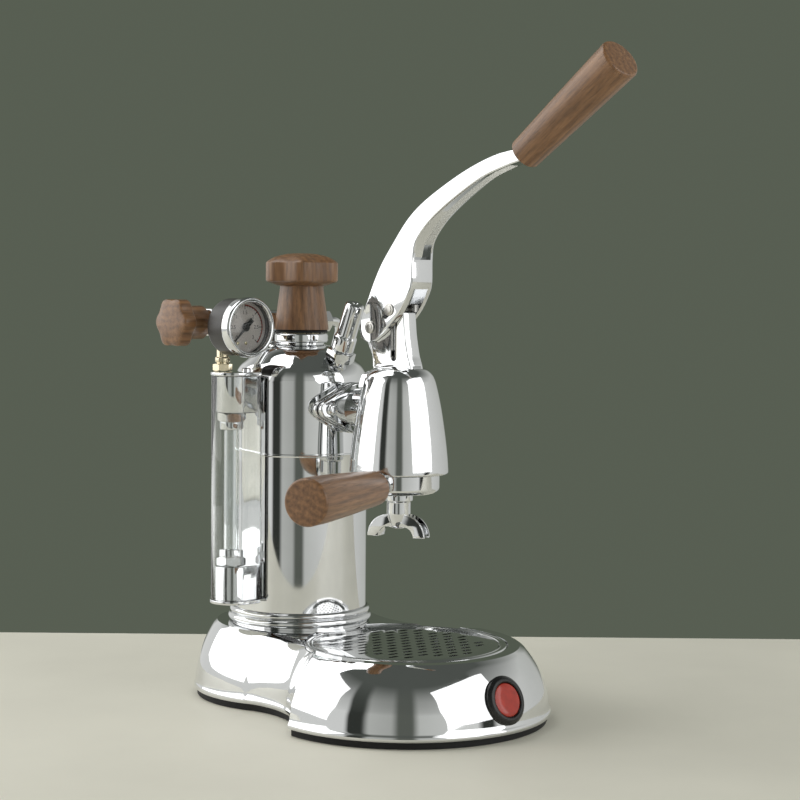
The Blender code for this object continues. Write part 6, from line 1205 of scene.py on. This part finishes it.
class ESPRESSO_OT_portafilter(bpy.types.Operator):
    """Build the portafilter's head, ferrule and walnut grip"""

    bl_idname = "espresso.portafilter"
    bl_label = "Portafilter"

    def execute(self, context):
        end = context.scene.machine_sizes.grip_radius / MM
        head = lathed([(26.2, 173.8), (28.3, 173.8, 0.2), (28.3, 171.0), (28.3, 158.2, 1.0),
                       (27.2, 156.4, 1.0), (25.3, 155.0, 1.2), (4.0, 155.0), (4.0, 158.0), (26.2, 158.0)],
                      closed=True)
        lugs = []
        for side in (0.0, 180.0):
            start, end_turn = GRIP_HEADING + 68.0 + side, GRIP_HEADING + 112.0 + side
            fan = arc_line((0.0, 0.0), 31.4, start, end_turn, 13)
            fan += arc_line((0.0, 0.0), 27.4, end_turn, start, 13)
            lugs.append(plate(fan, 171.6, 173.5))
        way = shifted(0.0, 0.0, GRIP_HEIGHT) @ tilted("Z", GRIP_HEADING) @ tilted("Y", 90.0)
        boss = rod(5.8, 26.8, 30.0, 48)
        stud = rod(3.8, 27.0, 70.0, 32)
        piece("portafilter_head_casting", gathered(head, *lugs, (boss, way), (stud, way)), "cast", GROUP,
              body="portafilter", stands_for=("portafilter_head",))
        ferrule = lathed([(4.1, 38.5, 0.1), (9.6, 38.5, 0.3), (10.0, 38.0, 0.3), (8.2, 36.4, 1.0),
                          (6.1, 34.6, 1.2), (6.1, 30.2), (4.1, 30.2)], 72, closed=True)
        piece("portafilter_ferrule", gathered((ferrule, way)), "bar", GROUP, body="portafilter",
              stands_for=("handle_ferrule",))
        grip = lathed([(0.0, 139.5), (14.3, 139.5, 0.6), (end, 138.3, 1.0), (end, 119.4, 8.0),
                       (end - 1.6, 79.1, 20.0), (11.7, 40.4, 0.6), (10.6, 38.8, 0.4), (4.1, 38.8),
                       (4.1, 70.2), (0.0, 70.2)], 96)
        piece("portafilter_walnut_grip", gathered((grip, way)), "grip walnut", GROUP, body="portafilter",
              stands_for=("portafilter_grip",))
        recoat("steel", "filter_basket")
        return {"FINISHED"}


class ESPRESSO_OT_spout(bpy.types.Operator):
    """Build the double spout: a stepped boss and two open channels"""

    bl_idname = "espresso.spout"
    bl_label = "Double spout"

    def execute(self, context):
        boss = lathed([(0.0, 154.7), (9.2, 154.7, 0.3), (9.8, 154.0, 0.4), (9.8, 149.6, 0.4),
                       (9.0, 149.2, 0.3), (8.3, 148.6, 0.4), (8.3, 140.5, 0.8), (7.4, 136.0, 2.5),
                       (5.2, 131.0, 1.5), (3.0, 130.0, 1.0), (0.0, 130.0)], 72)
        # Each arm bends down from the boss, with an open channel along its top
        outer, inner, turn = 15.5, 7.0, tilted("Z", GRIP_HEADING + 90.0)
        arms = []
        for side in (1.0, -1.0):
            centre = (side * 6.0, 140.0 - outer)
            start, end = 90.0 + side * 25.0, 90.0 - side * 90.0
            outline = arc_line(centre, outer, start, end, 33) + arc_line(centre, inner, end, start, 33)
            stop = end - side * 12.0
            channel = arc_line(centre, outer + 2.0, start, stop, 33)
            channel += arc_line(centre, inner + 1.6, stop, start, 33)
            trough = plate(channel, -3.6, 3.6, "XZ", edge=2.2, segments=5)
            arms.append((carved(plate(outline, -5.2, 5.2, "XZ", edge=0.8), [trough]), turn))
        piece("double_spout_casting", gathered(boss, *arms), "cast", GROUP, body="portafilter",
              stands_for=("double_spout",), crease=30.0)
        return {"FINISHED"}


class ESPRESSO_OT_fittings(bpy.types.Operator):
    """Finish the power switch and the cord gland"""

    bl_idname = "espresso.fittings"
    bl_label = "Switch and gland"

    def execute(self, context):
        recoat("phenolic", "switch_housing", "switch_rocker")
        recoat("rubber", "cord_gland")
        return {"FINISHED"}


# The stage: floor, backdrop, lights and camera

def lamp(name, place, aim, size, power):
    """One square softbox, aimed at a point. Sizes are in metres."""
    light = bpy.data.lights.new(name, "AREA")
    light.shape = "RECTANGLE"
    light.size, light.size_y = size
    light.energy = power
    made = bpy.data.objects.new(name, light)
    made.location = place
    made.rotation_euler = (Vector(aim) - Vector(place)).to_track_quat("-Z", "Y").to_euler()
    bpy.context.scene.collection.objects.link(made)
    return made


class ESPRESSO_OT_studio(bpy.types.Operator):
    """Build the floor, the soft lights and the camera"""

    bl_idname = "espresso.studio"
    bl_label = "Studio"

    def execute(self, context):
        scene = context.scene
        shape = bmesh.new()
        bmesh.ops.create_grid(shape, x_segments=2, y_segments=2, size=1.0)
        # A strip of floor square to the view, half its width and half its depth in metres
        wide, deep = 1.8, 0.38
        shape.transform(tilted("Z", CAMERA_TURN) @ shifted(y=-0.06)
                        @ Matrix.Diagonal((wide, deep, 1.0, 1.0)))
        mesh = bpy.data.meshes.new("floor")
        shape.to_mesh(mesh)
        shape.free()
        floor = bpy.data.objects.new("studio_floor", mesh)
        floor.location = (0.0, 0.0, -0.0002)
        scene.collection.objects.link(floor)
        mesh.materials.append(FINISHES["floor"])
        world = bpy.data.worlds.new("studio world")
        world.use_nodes = True
        scene.world = world
        tree = world.node_tree
        shade = tree.nodes["Background"]
        turn, pitch, roll = (math.radians(d) for d in (CAMERA_TURN, CAMERA_PITCH, CAMERA_ROLL))
        back = Vector((math.sin(turn) * math.cos(pitch), -math.cos(turn) * math.cos(pitch),
                       math.sin(pitch)))
        right = Vector((math.cos(turn), math.sin(turn), 0.0))
        # The room, by the angle round the machine: a grey green backdrop, pale walls and dark gaps
        way = node(tree, "ShaderNodeTexCoord").outputs["Generated"]
        toward = node(tree, "ShaderNodeVectorMath", {0: way}, inputs={1: tuple(back)},
                      operation="DOT_PRODUCT")
        beside = node(tree, "ShaderNodeVectorMath", {0: way}, inputs={1: tuple(right)},
                      operation="DOT_PRODUCT")
        round_by = node(tree, "ShaderNodeMath", {0: beside.outputs["Value"], 1: toward.outputs["Value"]},
                        operation="ARCTAN2")
        share = node(tree, "ShaderNodeMapRange", {"Value": round_by.outputs[0]},
                     inputs={"From Min": -math.pi, "From Max": math.pi})
        backdrop, pale, dim = hexed("#5F6659"), hexed("#F0F1EE"), hexed("#3A3D39")
        walls = node(tree, "ShaderNodeValToRGB", {"Fac": share.outputs[0]},
                     stops=((0.035, backdrop), (0.07, pale), (0.365, pale), (0.375, dim), (0.405, dim),
                            (0.42, hexed("#CBCDC8")), (0.47, hexed("#BDBFBA")), (0.485, hexed("#656962")),
                            (0.515, hexed("#656962")), (0.53, hexed("#D2D4CF")), (0.66, pale),
                            (0.675, dim), (0.70, dim), (0.715, pale), (0.93, hexed("#CBCDC8")),
                            (0.965, backdrop)))
        parts = node(tree, "ShaderNodeSeparateXYZ", {"Vector": way})
        high = node(tree, "ShaderNodeMapRange", {"Value": parts.outputs["Z"]},
                    inputs={"From Min": 0.35, "From Max": 0.80})
        room = node(tree, "ShaderNodeMix", {0: high.outputs[0], 6: walls.outputs[0]},
                    inputs={7: (*hexed("#5C605B"), 1.0)}, data_type="RGBA")
        tree.links.new(room.outputs[2], shade.inputs["Color"])
        shade.inputs["Strength"].default_value = 0.85
        lamp("panel_left", (-1.00, 1.12, 0.80), (0.0, 0.0, 0.25), (2.2, 1.4), 13.0)
        lamp("panel_right", (0.36, -1.46, 0.80), (0.0, 0.0, 0.25), (1.6, 1.4), 10.0)
        lamp("panel_above", (-0.45, 0.65, 1.6), (0.0, 0.0, 0.2), (1.0, 1.0), 9.0)
        over = back.cross(right)
        camera = bpy.data.objects.new("camera", bpy.data.cameras.new("camera"))
        camera.data.sensor_width = SENSOR
        camera.data.lens = LENS
        camera.data.clip_start = 0.05
        camera.data.clip_end = 50.0
        place = Vector(CAMERA_AIM) + back * CAMERA_AWAY + right * CAMERA_SIDE + over * CAMERA_RISE
        place = BOILER + place * MM
        across = right * math.cos(roll) + over * math.sin(roll)
        up = over * math.cos(roll) - right * math.sin(roll)
        camera.matrix_world = Matrix(((across.x, up.x, back.x, place.x), (across.y, up.y, back.y, place.y),
                                      (across.z, up.z, back.z, place.z), (0.0, 0.0, 0.0, 1.0)))
        scene.collection.objects.link(camera)
        scene.camera = camera
        scene.view_settings.view_transform = "Standard"
        return {"FINISHED"}


class ESPRESSO_PT_sidebar(bpy.types.Panel):
    """Sidebar panel with the sizes, the colours and a button for each piece"""

    bl_idname = "ESPRESSO_PT_sidebar"
    bl_label = "Lever Espresso Machine"
    bl_space_type = "VIEW_3D"
    bl_region_type = "UI"
    bl_category = "Espresso"

    def draw(self, context):
        for group in (context.scene.machine_sizes, context.scene.machine_colours):
            for key in group.bl_rna.properties.keys():
                if key not in ("rna_type", "name"):
                    self.layout.prop(group, key)
        for maker in PIECES:
            self.layout.operator(maker.bl_idname)


PIECES = (ESPRESSO_OT_base, ESPRESSO_OT_badge, ESPRESSO_OT_tray, ESPRESSO_OT_boiler, ESPRESSO_OT_cap,
          ESPRESSO_OT_steam_valve, ESPRESSO_OT_wand, ESPRESSO_OT_safety_valve, ESPRESSO_OT_sight_glass,
          ESPRESSO_OT_gauge, ESPRESSO_OT_group, ESPRESSO_OT_piston, ESPRESSO_OT_lever,
          ESPRESSO_OT_portafilter, ESPRESSO_OT_spout, ESPRESSO_OT_fittings, ESPRESSO_OT_studio)
CLASSES = (MachineSizes, MachineColours) + PIECES + (ESPRESSO_PT_sidebar,)


def register():
    for part in CLASSES:
        bpy.utils.register_class(part)
    bpy.types.Scene.machine_sizes = bpy.props.PointerProperty(type=MachineSizes)
    bpy.types.Scene.machine_colours = bpy.props.PointerProperty(type=MachineColours)


def unregister():
    del bpy.types.Scene.machine_colours
    del bpy.types.Scene.machine_sizes
    for part in reversed(CLASSES):
        bpy.utils.unregister_class(part)


def main():
    """Make the finishes, then every piece and the studio in order."""
    register()
    FINISHES.update(make_finishes())
    for maker in PIECES:
        group, action = maker.bl_idname.split(".")
        getattr(getattr(bpy.ops, group), action)()


if __name__ == "__main__":
    main()
